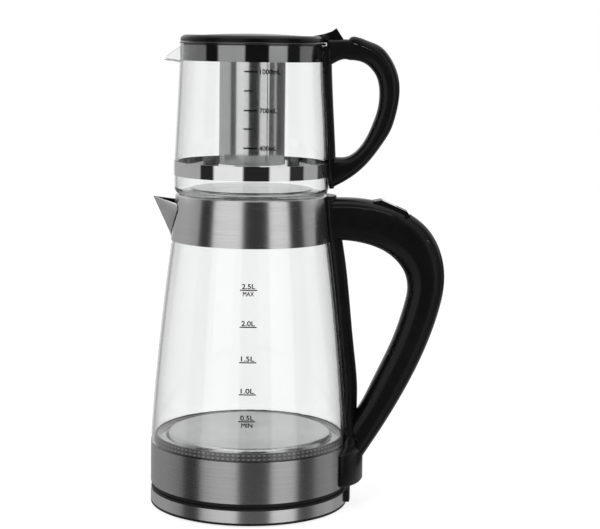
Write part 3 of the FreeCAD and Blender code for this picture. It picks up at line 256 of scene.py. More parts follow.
# a level disc: white to the camera and through glass, with the object's shadow left in it
def makeFloor(values):
    radius, sides = values["floorRadius"], values["floorSides"]
    turns = np.linspace(0, 2 * np.pi, sides, endpoint=False)
    level = np.full(sides, -values["floorDrop"])
    points = np.stack([radius * np.cos(turns), radius * np.sin(turns), level], 1)
    mesh = bpy.data.meshes.new("studioFloor")
    mesh.from_pydata(points.tolist(), [], [list(range(sides))])
    floor = bpy.data.objects.new("studioFloor", mesh)
    bpy.context.scene.collection.objects.link(floor)
    material = bpy.data.materials.new("studioFloor")
    material.use_nodes = True
    tree = material.node_tree
    tree.nodes.clear()
    seen = tree.nodes.new("ShaderNodeLightPath")
    lit = node(tree, "ShaderNodeBsdfDiffuse", Color=grey(values["floorShadow"]))
    glow = node(tree, "ShaderNodeEmission", Color=(1, 1, 1, 1), Strength=values["floorGlow"])
    white = node(tree, "ShaderNodeEmission", Color=(1, 1, 1, 1), Strength=1.0)
    paper = tree.nodes.new("ShaderNodeAddShader")
    tree.links.new(glow.outputs[0], paper.inputs[0])
    tree.links.new(lit.outputs[0], paper.inputs[1])
    plain = tree.nodes.new("ShaderNodeMixShader")
    tree.links.new(seen.outputs["Is Transmission Ray"], plain.inputs[0])
    tree.links.new(paper.outputs[0], plain.inputs[1])
    tree.links.new(white.outputs[0], plain.inputs[2])
    mirrored = mathNode(tree, "GREATER_THAN", seen.outputs["Glossy Depth"], 0.5)
    clear = tree.nodes.new("ShaderNodeBsdfTransparent")
    through = tree.nodes.new("ShaderNodeMixShader")
    tree.links.new(mirrored, through.inputs[0])
    tree.links.new(plain.outputs[0], through.inputs[1])
    tree.links.new(clear.outputs[0], through.inputs[2])
    output = tree.nodes.new("ShaderNodeOutputMaterial")
    tree.links.new(through.outputs[0], output.inputs["Surface"])
    floor.data.materials.append(material)


makeFloor(studioSettings)
print("studio made")


# shared effects, each a group with named inputs and outputs

def newGroup(name, inputs, outputs):
    group = bpy.data.node_groups.new(name, "ShaderNodeTree")
    for label, kind, value in inputs:
        socket = group.interface.new_socket(label, in_out="INPUT", socket_type=kind)
        socket.default_value = value
    for label, kind in outputs:
        group.interface.new_socket(label, in_out="OUTPUT", socket_type=kind)
    start = group.nodes.new("NodeGroupInput")
    end = group.nodes.new("NodeGroupOutput")
    return group, start, end


def noise(tree, vector, scale, detail, rough):
    made = tree.nodes.new("ShaderNodeTexNoise")
    made.inputs["Scale"].default_value = scale
    made.inputs["Detail"].default_value = detail
    made.inputs["Roughness"].default_value = rough
    tree.links.new(vector, made.inputs["Vector"])
    return made.outputs["Fac"]


def stretched(tree, vector, scale):
    made = tree.nodes.new("ShaderNodeMapping")
    made.inputs["Scale"].default_value = scale
    tree.links.new(vector, made.inputs["Vector"])
    return made.outputs[0]


# noise scales (x, y, z), the share of each in the sum, and the range that is spread from dark to light
brushPattern = {"fine": (22, 22, 2400), "fineShare": 0.65, "broad": (9, 9, 320), "broadShare": 0.35,
                "low": 0.32, "high": 0.68}
smearPattern = {"scale": 26, "low": 0.42, "high": 0.70}


# fine lines that run round the upright axis: noise that changes fast with height and slowly across
def makeBrushGroup(values):
    group, start, end = newGroup("brushedRound", [
        ("Vector", "NodeSocketVector", (0, 0, 0)), ("Light", "NodeSocketColor", (0.7, 0.7, 0.7, 1)),
        ("Dark", "NodeSocketColor", (0.6, 0.6, 0.6, 1)), ("Low Roughness", "NodeSocketFloat", 0.2),
        ("High Roughness", "NodeSocketFloat", 0.3)],
        [("Color", "NodeSocketColor"), ("Roughness", "NodeSocketFloat"), ("Height", "NodeSocketFloat")])
    fine = noise(group, stretched(group, start.outputs["Vector"], values["fine"]), 1.0, 5, 0.65)
    broad = noise(group, stretched(group, start.outputs["Vector"], values["broad"]), 1.0, 3, 0.5)
    both = mathNode(group, "ADD", mathNode(group, "MULTIPLY", fine, values["fineShare"]),
                    mathNode(group, "MULTIPLY", broad, values["broadShare"]))
    share = spread(group, both, values["low"], values["high"])
    rough = group.nodes.new("ShaderNodeMapRange")
    group.links.new(share, rough.inputs["Value"])
    group.links.new(start.outputs["Low Roughness"], rough.inputs["To Max"])
    group.links.new(start.outputs["High Roughness"], rough.inputs["To Min"])
    group.links.new(blended(group, share, start.outputs["Dark"], start.outputs["Light"]), end.inputs["Color"])
    group.links.new(rough.outputs[0], end.inputs["Roughness"])
    group.links.new(both, end.inputs["Height"])
    return group


# faint smears and specks of handling: broad noise gathered by a threshold, with fine grain on top
def makeHandlingGroup(values):
    group, start, end = newGroup("handling", [
        ("Vector", "NodeSocketVector", (0, 0, 0)), ("Clean", "NodeSocketColor", (0.02, 0.02, 0.02, 1)),
        ("Worn", "NodeSocketColor", (0.03, 0.03, 0.03, 1)), ("Base Roughness", "NodeSocketFloat", 0.3),
        ("Smear", "NodeSocketFloat", 0.08), ("Grain Scale", "NodeSocketFloat", 900.0)],
        [("Color", "NodeSocketColor"), ("Roughness", "NodeSocketFloat"), ("Height", "NodeSocketFloat")])
    broad = noise(group, start.outputs["Vector"], values["scale"], 4, 0.6)
    patch = spread(group, broad, values["low"], values["high"])
    fine = group.nodes.new("ShaderNodeTexNoise")
    fine.inputs["Detail"].default_value = 2
    group.links.new(start.outputs["Vector"], fine.inputs["Vector"])
    group.links.new(start.outputs["Grain Scale"], fine.inputs["Scale"])
    smear = mathNode(group, "MULTIPLY", patch, start.outputs["Smear"])
    rough = mathNode(group, "ADD", start.outputs["Base Roughness"], smear)
    group.links.new(blended(group, patch, start.outputs["Clean"], start.outputs["Worn"]), end.inputs["Color"])
    group.links.new(rough, end.inputs["Roughness"])
    group.links.new(fine.outputs["Fac"], end.inputs["Height"])
    return group


brushGroup = makeBrushGroup(brushPattern)
handlingGroup = makeHandlingGroup(smearPattern)


def newMaterial(name, **shader):
    material = bpy.data.materials.new(name)
    material.use_nodes = True
    tree = material.node_tree
    principled = tree.nodes["Principled BSDF"]
    for label, value in shader.items():
        principled.inputs[label.replace("_", " ")].default_value = value
    return material, tree, principled


bumpDepth = {"brushed": 0.00004, "moulded": 0.00003}  # metres


# puts a shared effect in a material on Object coordinates and feeds its colour, roughness and bump
def placeGroup(tree, principled, group, bump, bumpDistance, **values):
    placed = tree.nodes.new("ShaderNodeGroup")
    placed.node_tree = group
    for label, value in values.items():
        placed.inputs[label.replace("_", " ")].default_value = value
    where = tree.nodes.new("ShaderNodeTexCoord")
    tree.links.new(where.outputs["Object"], placed.inputs["Vector"])
    tree.links.new(placed.outputs["Color"], principled.inputs["Base Color"])
    tree.links.new(placed.outputs["Roughness"], principled.inputs["Roughness"])
    if bump:
        relief = tree.nodes.new("ShaderNodeBump")
        relief.inputs["Strength"].default_value = bump
        relief.inputs["Distance"].default_value = bumpDistance
        tree.links.new(placed.outputs["Height"], relief.inputs["Height"])
        tree.links.new(relief.outputs[0], principled.inputs["Normal"])
    return placed


def brushedSteel(name, light, dark, low, high, bump=0.12, anisotropic=0.6):
    material, tree, principled = newMaterial(name, Metallic=1.0, Anisotropic=anisotropic,
                                             Anisotropic_Rotation=0.25)
    placeGroup(tree, principled, brushGroup, bump, bumpDepth["brushed"], Light=light, Dark=dark,
               Low_Roughness=low, High_Roughness=high)
    tangent = tree.nodes.new("ShaderNodeTangent")
    tangent.direction_type = "RADIAL"
    tangent.axis = "Z"
    tree.links.new(tangent.outputs[0], principled.inputs["Tangent"])
    return material


def moulded(name, clean, worn, rough, smear, grain, bump, specular=0.5, coat=0.0):
    material, tree, principled = newMaterial(name, Specular_IOR_Level=specular, Coat_Weight=coat,
                                             Coat_Roughness=0.12)
    placeGroup(tree, principled, handlingGroup, bump, bumpDepth["moulded"], Clean=clean, Worn=worn,
               Base_Roughness=rough, Smear=smear, Grain_Scale=grain)
    return material


def polished(name, clean, worn, rough):
    material, tree, principled = newMaterial(name, Metallic=1.0)
    placeGroup(tree, principled, handlingGroup, 0.0, 0, Clean=clean, Worn=worn, Base_Roughness=rough,
               Smear=0.03, Grain_Scale=600.0)
    return material


glassDrift = {"scale": 14.0, "low": 0.38, "high": 0.68}


# glass whose tint drifts a little from place to place
def clearGlass(name, tint, deep, values):
    material, tree, principled = newMaterial(name, Metallic=0.0, Transmission_Weight=1.0, IOR=1.45,
                                             Roughness=0.0)
    where = tree.nodes.new("ShaderNodeTexCoord")
    broad = noise(tree, where.outputs["Object"], values["scale"], 3, 0.5)
    patch = spread(tree, broad, values["low"], values["high"])
    tree.links.new(blended(tree, patch, tint, deep), principled.inputs["Base Color"])
    return material


# pitch in millimetres, hole and edge as shares of it
perforation = {"pitch": 1.0, "hole": 0.20, "edge": 0.07, "light": 0.88, "dark": 0.80, "inside": 0.14,
               "smooth": 0.10, "rough": 0.16, "relief": 0.2, "depth": 0.0001}


# thin sheet with staggered round holes, laid out on the tube's UV map in millimetres round and up; the holes
# are not cut through, and their dark fill is painted shade
def perforatedSteel(name, values):
    material, tree, principled = newMaterial(name, Metallic=1.0, Anisotropic=0.5)
    placed = placeGroup(tree, principled, brushGroup, 0.0, 0, Light=grey(values["light"]),
                        Dark=grey(values["dark"]), Low_Roughness=values["smooth"],
                        High_Roughness=values["rough"])
    layout = tree.nodes.new("ShaderNodeUVMap")
    turned = tree.nodes.new("ShaderNodeMapping")
    turned.inputs["Rotation"].default_value = (0, 0, math.pi / 4)
    turned.inputs["Scale"].default_value = (1 / values["pitch"],) * 3
    tree.links.new(layout.outputs[0], turned.inputs["Vector"])
    cells = tree.nodes.new("ShaderNodeTexVoronoi")
    cells.voronoi_dimensions = "2D"
    cells.inputs["Scale"].default_value = 1.0
    cells.inputs["Randomness"].default_value = 0.0
    tree.links.new(turned.outputs[0], cells.inputs["Vector"])
    sheet = spread(tree, cells.outputs["Distance"], values["hole"] - values["edge"],
                   values["hole"] + values["edge"])
    # the dark grey inside each hole is painted shade
    tree.links.new(blended(tree, sheet, grey(values["inside"]), placed.outputs["Color"]),
                   principled.inputs["Base Color"])
    relief = tree.nodes.new("ShaderNodeBump")
    relief.inputs["Strength"].default_value = values["relief"]
    relief.inputs["Distance"].default_value = values["depth"]
    tree.links.new(sheet, relief.inputs["Height"])
    tree.links.new(relief.outputs[0], principled.inputs["Normal"])
    return material


# brightness of the painted shade between the teeth and of the painted highlight on their crests, distance
# from the axis, and the heights of the two rows of teeth with their half widths
toothed = {"root": 0.09, "crest": 0.34, "rootReach": 0.0811, "crestReach": 0.0816, "rows": (0.0565, 0.0597),
           "rowHalf": 0.0006, "fadeFrom": 1.5, "fadeTo": 0.7}


# silicone with painted shade between its teeth and a painted highlight on their crests, by the distance from
# the upright axis
def teethShadeAndHighlight(name, values):
    material, tree, principled = newMaterial(name, Roughness=0.3)
    where = tree.nodes.new("ShaderNodeTexCoord")
    flat = stretched(tree, where.outputs["Object"], (1, 1, 0))
    reach = tree.nodes.new("ShaderNodeVectorMath")
    reach.operation = "LENGTH"
    tree.links.new(flat, reach.inputs[0])
    height = tree.nodes.new("ShaderNodeSeparateXYZ")
    tree.links.new(where.outputs["Object"], height.inputs[0])
    bands = []
    for middle in values["rows"]:
        away = mathNode(tree, "ABSOLUTE", mathNode(tree, "SUBTRACT", height.outputs["Z"], middle))
        bands.append(spread(tree, away, values["rowHalf"] * values["fadeFrom"],
                            values["rowHalf"] * values["fadeTo"]))
    outward = spread(tree, reach.outputs["Value"], values["rootReach"], values["crestReach"])
    crest = mathNode(tree, "MULTIPLY", outward, mathNode(tree, "ADD", *bands, clamp=True))
    colour = blended(tree, crest, grey(values["root"]), grey(values["crest"]))
    tree.links.new(colour, principled.inputs["Base Color"])
    return material


finishes = {
    "collarSteel": brushedSteel("collarSteel", grey(0.71), grey(0.61), 0.21, 0.28, anisotropic=0.75),
    "skirtSteel": brushedSteel("skirtSteel", grey(0.50), grey(0.43), 0.22, 0.30, anisotropic=0.75),
    "baseRingSteel": brushedSteel("baseRingSteel", grey(0.72), grey(0.64), 0.20, 0.27, anisotropic=0.75),
    "innerSteel": brushedSteel("innerSteel", grey(0.70), grey(0.62), 0.14, 0.22),
    "plateSteel": brushedSteel("plateSteel", grey(0.58), grey(0.50), 0.18, 0.25, bump=0.04, anisotropic=0.7),
    # near black steel, painted shade: on the beak's inner face and along its foot
    "paintedShadeSteel": brushedSteel("paintedShadeSteel", grey(0.09), grey(0.06), 0.35, 0.45, anisotropic=0.2),
    "meshSteel": perforatedSteel("meshSteel", perforation),
    "polishedSteel": polished("polishedSteel", grey(0.84), grey(0.80), 0.03),
    "darkSteel": polished("darkSteel", grey(0.29), grey(0.25), 0.04),
    "handleBlack": moulded("handleBlack", grey(0.0035), grey(0.005), 0.26, 0.05, 1500.0, 0.05, specular=0.22),
    "baseBlack": moulded("baseBlack", grey(0.005), grey(0.008), 0.40, 0.06, 1100.0, 0.12, specular=0.25),
    "lidBlack": moulded("lidBlack", grey(0.0035), grey(0.005), 0.22, 0.05, 1500.0, 0.05, specular=0.15),
    "lidEdge": moulded("lidEdge", grey(0.0035), grey(0.005), 0.16, 0.04, 1500.0, 0.0, specular=0.8, coat=0.4),
    "kettleGlass": clearGlass("kettleGlass", (0.995, 0.998, 0.998, 1), (0.978, 0.985, 0.985, 1), glassDrift),
    "teapotGlass": clearGlass("teapotGlass", (0.992, 0.996, 0.996, 1), (0.974, 0.981, 0.981, 1), glassDrift),
    "clearSilicone": moulded("clearSilicone", grey(0.80), grey(0.74), 0.35, 0.05, 500.0, 0.1),
    "teethShadeAndHighlight": teethShadeAndHighlight("teethShadeAndHighlight", toothed),
    "blackSilicone": moulded("blackSilicone", grey(0.012), grey(0.02), 0.55, 0.05, 700.0, 0.1, specular=0.3),
    "footRubber": moulded("footRubber", grey(0.03), grey(0.05), 0.75, 0.08, 900.0, 0.3),
    "castAluminium": polished("castAluminium", grey(0.62), grey(0.5), 0.42),
    "plainBrass": polished("plainBrass", (0.78, 0.57, 0.24, 1), (0.6, 0.42, 0.2, 1), 0.25),
    "pinSteel": polished("pinSteel", grey(0.02), grey(0.03), 0.4),
    "screwSteel": polished("screwSteel", grey(0.6), grey(0.5), 0.28),
    "printInk": moulded("printInk", grey(0.003), grey(0.005), 0.6, 0.05, 900.0, 0.0, specular=0.1),
}

nodeFinish = {
    "base_housing": "baseBlack", "base_trim_ring": "baseRingSteel", "base_floor": "baseBlack",
    "base_feet": "footRubber", "base_socket": "baseBlack", "base_contacts": "plainBrass",
    "cord_outlet": "baseBlack", "base_screws": "screwSteel", "kettle_coupler": "baseBlack",
    "kettle_underside": "baseBlack", "kettle_skirt": "skirtSteel", "heating_plate": "plateSteel",
    "heat_spreader": "castAluminium", "heating_element": "screwSteel", "thermostat_control": "baseBlack",
    "plate_gasket": "teethShadeAndHighlight", "underside_screws": "screwSteel", "kettle_glass": "kettleGlass",
    "kettle_collar": "collarSteel", "neck_seal": "clearSilicone", "kettle_spout": "collarSteel",
    "handle_strap": "handleBlack", "handle_grip": "handleBlack", "handle_back_cover": "handleBlack",
    "switch_pin": "pinSteel", "switch_paddle": "handleBlack", "switch_paddle_trim": "polishedSteel",
    "teapot_glass": "teapotGlass", "teapot_band": "polishedSteel", "teapot_bracket": "handleBlack",
    "teapot_handle_grip": "handleBlack", "teapot_handle_cover": "handleBlack",
    "lid_hinge_pin": "pinSteel", "infuser_collar": "darkSteel", "infuser_tube": "meshSteel",
    "infuser_base": "innerSteel", "lid_cover": "lidBlack", "lid_rim_plate": "lidBlack",
    "lid_seal": "blackSilicone",
}

for name, finish in nodeFinish.items():
    mesh = nodes[name].data
    mesh.materials.clear()
    mesh.materials.append(finishes[finish])
print("finishes placed")


def addPiece(name, mesh, finish, body):
    if finish:
        mesh.materials.clear()
        mesh.materials.append(finishes[finish])
    piece = bpy.data.objects.new(name, mesh)
    bpy.context.scene.collection.objects.link(piece)
    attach(piece, body)
    return piece


# a mesh with one modifier applied
def finishedMesh(name, mesh, kind, **values):
    holder = bpy.data.objects.new(name, mesh)
    modifier = holder.modifiers.new(kind.lower(), kind)
    for label, value in values.items():
        setattr(modifier, label, value)
    bpy.context.scene.collection.objects.link(holder)
    bpy.context.view_layer.update()
    made = bpy.data.meshes.new_from_object(holder.evaluated_get(bpy.context.evaluated_depsgraph_get()))
    bpy.data.objects.remove(holder)
    bpy.data.meshes.remove(mesh)
    made.name = name
    return made


# the outer pieces again as one joined skin each, so that rounded faces shade without steps

# metres, degrees, degrees, the least level share of a face's direction, and metres from the axis
smoothing = {"merge": 0.000002, "crease": 28, "round": 3.5, "leastFacing": 0.05, "leastReach": 0.002}
roundNodes = ["base_housing", "base_trim_ring", "kettle_underside", "kettle_skirt", "plate_gasket",
              "kettle_glass", "kettle_collar", "neck_seal", "teapot_band", "infuser_base", "lid_seal"]
mouldedNodes = ["cord_outlet", "handle_strap", "handle_grip", "handle_back_cover", "switch_paddle",
                "switch_paddle_trim", "teapot_bracket", "teapot_handle_grip", "teapot_handle_cover",
                "lid_cover"]


# where a face already looks straight away from the upright axis or towards it, each of its corners takes the
# direction of its own turn round that axis, and keeps its slope
def evenRound(mesh, values):
    count = len(mesh.loops)
    corner, normals = np.zeros(count, np.int32), np.zeros(count * 3, np.float32)
    mesh.loops.foreach_get("vertex_index", corner)
    mesh.corner_normals.foreach_get("vector", normals)
    points, faceNormals = np.zeros(len(mesh.vertices) * 3), np.zeros(len(mesh.polygons) * 3)
    mesh.vertices.foreach_get("co", points)
    mesh.polygons.foreach_get("normal", faceNormals)
    sides = np.zeros(len(mesh.polygons), np.int32)
    mesh.polygons.foreach_get("loop_total", sides)
    normals = normals.reshape(-1, 3)
    face = np.repeat(faceNormals.reshape(-1, 3), sides, axis=0)
    flat = points.reshape(-1, 3)[corner, :2]
    reach = np.maximum(np.hypot(flat[:, 0], flat[:, 1]), 1e-6)
    radial = flat / reach[:, None]
    side = np.sign((face[:, :2] * radial).sum(1))[:, None]
    facing = np.hypot(face[:, 0], face[:, 1])
    level = np.sqrt(np.maximum(1 - normals[:, 2] ** 2, 0))
    ideal = np.concatenate([side * level[:, None] * radial, normals[:, 2:]], 1)
    agrees = (face[:, :2] * side * radial).sum(1) > facing * math.cos(math.radians(values["round"]))
    chosen = agrees & (facing > values["leastFacing"]) & (reach > values["leastReach"])
    normals[chosen] = ideal[chosen]
    mesh.normals_split_custom_set(normals.tolist())


# a node's mesh with its points merged and shaded smooth apart from its creases
def smoothPiece(node, values, turned):
    mesh = nodes[node].data.copy()
    work = bmesh.new()
    work.from_mesh(mesh)
    bmesh.ops.remove_doubles(work, verts=work.verts, dist=values["merge"])
    bmesh.ops.dissolve_degenerate(work, edges=work.edges, dist=values["merge"] / 4)
    work.to_mesh(mesh)
    work.free()
    mesh.shade_smooth()
    mesh.set_sharp_from_angle(angle=math.radians(values["crease"]))
    words = node.split("_")
    name = words[0] + "".join(word.capitalize() for word in words[1:])
    if turned:
        mesh = finishedMesh(name, mesh, "WEIGHTED_NORMAL", keep_sharp=True)
        evenRound(mesh, values)
    piece = addPiece(name, mesh, nodeFinish[node], body_of(nodes[node])[0])
    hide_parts(node)


for node in roundNodes + mouldedNodes:
    smoothPiece(node, smoothing, node in roundNodes)
print("outer skins made:", len(roundNodes + mouldedNodes))


# helpers for surfaces worked out on a grid

# points that meet become one, open ends get a face, and all faces point outwards
def closed(mesh, meeting=1e-6):
    work = bmesh.new()
    work.from_mesh(mesh)
    bmesh.ops.remove_doubles(work, verts=work.verts, dist=meeting)
    bmesh.ops.delete(work, geom=[edge for edge in work.edges if edge.is_wire], context="EDGES")
    bmesh.ops.holes_fill(work, edges=[edge for edge in work.edges if edge.is_boundary], sides=0)
    bmesh.ops.recalc_face_normals(work, faces=work.faces)
    work.to_mesh(mesh)
    work.free()
    return mesh


# a profile of (radius, height) points carried round the upright axis: the point at turn t is
# (radius cos t, radius sin t, height); UV counts millimetres round and up
def revolved(name, profile, steps, radiusShift=None):
    radius, height = np.array(profile).T
    turn = np.linspace(0, 2 * np.pi, steps, endpoint=False)
    reach = np.broadcast_to(radius, (steps, len(radius))).copy()
    if radiusShift is not None:
        reach += radiusShift(turn)[:, None]
    points = np.stack([reach * np.cos(turn)[:, None], reach * np.sin(turn)[:, None],
                       np.broadcast_to(height, reach.shape)], 2)
    count = len(radius)
    row = np.arange(steps)[:, None] * count
    column = np.arange(count)[None, :]
    following = (row + count) % (steps * count)
    beside = (column + 1) % count
    quads = np.stack([row + column, following + column, following + beside, row + beside], 2).reshape(-1, 4)
    mesh = gridMesh(name, points.reshape(-1, 3), quads)
    return closed(mesh) if radius.min() == 0 else mesh


# a mesh from points and four-sided faces, smooth apart from its creases
def gridMesh(name, points, quads):
    mesh = bpy.data.meshes.new(name)
    mesh.vertices.add(len(points))
    mesh.vertices.foreach_set("co", points.ravel())
    mesh.loops.add(quads.size)
    mesh.loops.foreach_set("vertex_index", quads.ravel().astype(np.int32))
    mesh.polygons.add(len(quads))
    mesh.polygons.foreach_set("loop_start", np.arange(0, quads.size, 4, dtype=np.int32))
    mesh.update(calc_edges=True)
    mesh.shade_smooth()
    mesh.set_sharp_from_angle(angle=math.radians(smoothing["crease"]))
    return mesh


# a closed path through corners, each turned by an arc between points set back along both sides:
# (1 - part)^2 start + 2 part (1 - part) corner + part^2 end
def roundedPath(corners, arcs, steps=6):
    made = []
    for index, corner in enumerate(corners):
        corner = np.array(corner, float)
        back = np.array(corners[index - 1], float) - corner
        ahead = np.array(corners[(index + 1) % len(corners)], float) - corner
        if not arcs[index]:
            made.append(corner[None])
            continue
        start = corner + back / np.linalg.norm(back) * arcs[index]
        end = corner + ahead / np.linalg.norm(ahead) * arcs[index]
        part = np.linspace(0, 1, steps)[:, None]
        made.append((1 - part) ** 2 * start + 2 * part * (1 - part) * corner + part ** 2 * end)
    return np.concatenate(made)


# a grid of points (rows, columns, 3) joined by faces, and from its last column to its first if it goes around
def stripMesh(name, grid, around=False):
    rows, columns = grid.shape[:2]
    index = np.arange(rows * columns).reshape(rows, columns)
    beside = np.roll(index, -1, 1) if around else index[:, 1:]
    index = index if around else index[:, :-1]
    quads = np.stack([index[:-1], index[1:], beside[1:], beside[:-1]], 2).reshape(-1, 4)
    return gridMesh(name, grid.reshape(-1, 3), quads)


# degrees, then metres; the flange is how far the tube's top edge stands out from it
tubeSettings = {"seamTurn": -60.5, "seamWidth": 0.0011, "seamDepth": 0.0005, "steps": 720, "sheet": 0.0006,
                "flange": 0.002, "round": 0.0002, "inRound": 0.0003}


# the strainer's tube: a thin profile with a flange carried round the axis, and sunk along its seam by
# depth times exp(-(distance / half the seam's width) ^ 4)
def infuserTube(values):
    low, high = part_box("infuser_tube")
    flange, sheet = high[0], values["sheet"]
    radius = flange - values["flange"]
    seam = math.radians(values["seamTurn"])

    def sunk(turn):
        away = (turn - seam + np.pi) % (2 * np.pi) - np.pi
        return -values["seamDepth"] * np.exp(-(away * radius / values["seamWidth"] * 2) ** 4)

    profile = roundedPath([(radius - sheet, low[2]), (radius, low[2]), (radius, high[2] - sheet),
                           (flange, high[2] - sheet), (flange, high[2]), (radius - sheet, high[2])],
                          [0, values["round"], values["inRound"], values["round"], values["round"], 0])
    mesh = revolved("infuserTube", profile, values["steps"], sunk)
    points = np.zeros(len(mesh.vertices) * 3)
    mesh.vertices.foreach_get("co", points)
    points = points.reshape(-1, 3)
    corner = np.zeros(len(mesh.loops), np.int32)
    mesh.loops.foreach_get("vertex_index", corner)
    # UV in millimetres; a face across the line at half a turn keeps its corners on one side of it
    turn = np.arctan2(points[:, 1], points[:, 0])[corner].reshape(-1, 4)
    turn = turn + 2 * np.pi * (turn.max(1, keepdims=True) - turn > np.pi)
    flat = np.stack([turn.ravel() * radius * 1000, points[corner, 2] * 1000], 1)
    mesh.uv_layers.new(name="UVMap").data.foreach_set("uv", flat.ravel())
    piece = addPiece("infuserTube", mesh, "meshSteel", "teapot")
    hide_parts("infuser_tube")


infuserTube(tubeSettings)


# metres: the flat top ends at the plateau, and the channel round it starts at the well
plateSettings = {"sheet": 0.0008, "shoulder": 0.0036, "plateau": 0.0690, "well": 0.0715,
                 "channelDrop": 0.0050, "rimRise": 0.0033, "overhang": 0.0003, "lift": 0.0004,
                 "shoulderRound": 0.0030, "channelRound": 0.0012, "rimRound": 0.0002, "underRound": 0.0010,
                 "rings": 12, "slopeSteps": 10, "sides": 360}


# a pan carried round the axis: a flat top, a curved shoulder down to a channel, and an upright rim
def heatingPlate(values):
    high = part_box("heating_plate")[1]
    top, outer, sheet = high[2], high[0], values["sheet"]
    plateau, well = values["plateau"], values["well"]
    shoulder = plateau - values["shoulder"]
    floor = top - values["channelDrop"]
    rim = floor + values["rimRise"]
    skin = np.stack([np.linspace(0, shoulder, values["rings"]), np.full(values["rings"], top)], 1)
    bend = roundedPath([(plateau, top), (well, floor), (outer - sheet, floor), (outer - sheet, rim),
                        (outer, rim), (outer, floor - sheet)],
                       [0, values["channelRound"], values["channelRound"], values["rimRound"],
                        values["rimRound"], values["underRound"]])
    slope = roundedPath([(shoulder, top), (plateau + values["overhang"], top),
                         (well, floor + values["lift"])],
                        [0, values["shoulderRound"], 0], values["slopeSteps"])[1:-1]
    under = np.array([(well - sheet, floor - sheet), (plateau - 2 * sheet, top - sheet), (0, top - sheet)])
    profile = np.concatenate([skin, slope, bend[1:], under])[::-1]
    mesh = revolved("heatingPlate", profile, values["sides"])
    piece = addPiece("heatingPlate", mesh, "plateSteel", "kettle")
    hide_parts("heating_plate")


heatingPlate(plateSettings)


lidPlateSettings = {"round": 0.0009, "roundSteps": 8, "sides": 360}


# a flat round plate with rounded edges, carried round the axis
def lidRimPlate(values):
    low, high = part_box("lid_rim_plate")
    profile = roundedPath([(0, low[2]), (high[0], low[2]), (high[0], high[2]), (0, high[2])],
                          [0, values["round"], values["round"], 0], values["roundSteps"])
    mesh = revolved("lidRimPlate", profile, values["sides"])
    piece = addPiece("lidRimPlate", mesh, "lidEdge", "lid")
    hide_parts("lid_rim_plate")


lidRimPlate(lidPlateSettings)


# the bracket's brow below the lid's edge: outlines as (distance from the axis, height)
browSettings = {
    "bar": [(0.06175, 0.3902), (0.0639, 0.3902), (0.0639, 0.3931), (0.06175, 0.3931)],
    "barTurn": 14.2,  # degrees each way
    "ear": [(0.0621, 0.3908), (0.0645, 0.3908), (0.0645, 0.3983), (0.0630, 0.3983), (0.0622, 0.3966)],
    "earFrom": 0.0061, "earTo": 0.0098, "round": 0.0004, "roundSteps": 4, "barSteps": 13, "earSteps": 4,
}


# a low bar bent round the upright axis, whose outline's point at turn t is (distance cos t, distance sin t,
# height), and two ears beside the hinge's slot, whose outline slides straight across; their ends are closed
def bracketBrow(values):
    bar, ear = (roundedPath(values[name], [values["round"]] * len(values[name]), values["roundSteps"])
                for name in ("bar", "ear"))
    turn = np.radians(np.linspace(-values["barTurn"], values["barTurn"], values["barSteps"]))[:, None]
    high = np.broadcast_to(bar[:, 1], (values["barSteps"], len(bar)))
    grids = [np.stack([bar[:, 0] * np.cos(turn), bar[:, 0] * np.sin(turn), high], 2)]
    for side in (-1, 1):
        across = side * np.linspace(values["earFrom"], values["earTo"], values["earSteps"])[:, None]
        grids.append(np.stack(np.broadcast_arrays(ear[:, 0], across, ear[:, 1]), 2))
    work = bmesh.new()
    for grid in grids:
        part = stripMesh("bracketPart", grid, around=True)
        work.from_mesh(part)
        bpy.data.meshes.remove(part)
    mesh = bpy.data.meshes.new("bracketBrow")
    work.to_mesh(mesh)
    work.free()
    addPiece("bracketBrow", closed(mesh), "handleBlack", "teapot")


bracketBrow(browSettings)
print("tube, plate, lid edge and bracket brow made")


# the beak: a folded sheet whose straight rulings run from its foot on the collar to one tip

spoutSettings = {
    "tip": (-0.0836, 0.0, 0.2648),
    # the foot's line: degrees round the collar from the beak's keel, height
    "foot": [(18.4, 0.2602), (21.2, 0.2584), (22.4, 0.2554), (21.2, 0.2522), (18.6, 0.2486), (14.6, 0.2428),
             (8.6, 0.2366), (4.0, 0.2326), (0.0, 0.2308)],
    "collar": [(0.2287, 0.0684), (0.2665, 0.0646)],  # height, outer radius
    "lift": 0.0001, "sheet": 0.0008, "tipShare": 0.982, "rulings": 20, "cuts": 3,
    "bead": 0.00042, "beadSides": 8, "beadThinning": 50,
}


# the foot's line from its table, mirrored, with its corners cut, and laid on the collar's cone
def spoutFoot(values):
    half = np.array(values["foot"])
    line = np.concatenate([half * [-1, 1], half[-2::-1]])
    for _ in range(values["cuts"]):  # cuts each corner of the line at its quarters
        inner = np.stack([line[:-1] * 0.75 + line[1:] * 0.25, line[:-1] * 0.25 + line[1:] * 0.75], 1)
        line = np.concatenate([line[:1], inner.reshape(-1, 2), line[-1:]])
    turn = np.radians(line[:, 0])
    heights, radii = np.array(values["collar"]).T
    reach = np.interp(line[:, 1], heights, radii) + values["lift"]
    return np.stack([-reach * np.cos(turn), reach * np.sin(turn), line[:, 1]], 1)


# each ruling runs straight from the foot to the tip: (1 - share) foot + share tip
def kettleSpout(values):
    foot = spoutFoot(values)
    share = np.linspace(0, values["tipShare"], values["rulings"])[:, None, None]
    grid = (1 - share) * foot[None] + share * np.array(values["tip"])
    single = stripMesh("kettleSpout", grid)
    # the sheet's inner face takes the near black steel, painted shade
    for finish in ("collarSteel", "paintedShadeSteel"):
        single.materials.append(finishes[finish])
    mesh = finishedMesh("kettleSpout", single, "SOLIDIFY", thickness=values["sheet"], offset=-1.0,
                        use_even_offset=True, material_offset=1, material_offset_rim=0)
    piece = addPiece("kettleSpout", mesh, None, "kettle")
    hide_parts("kettle_spout")
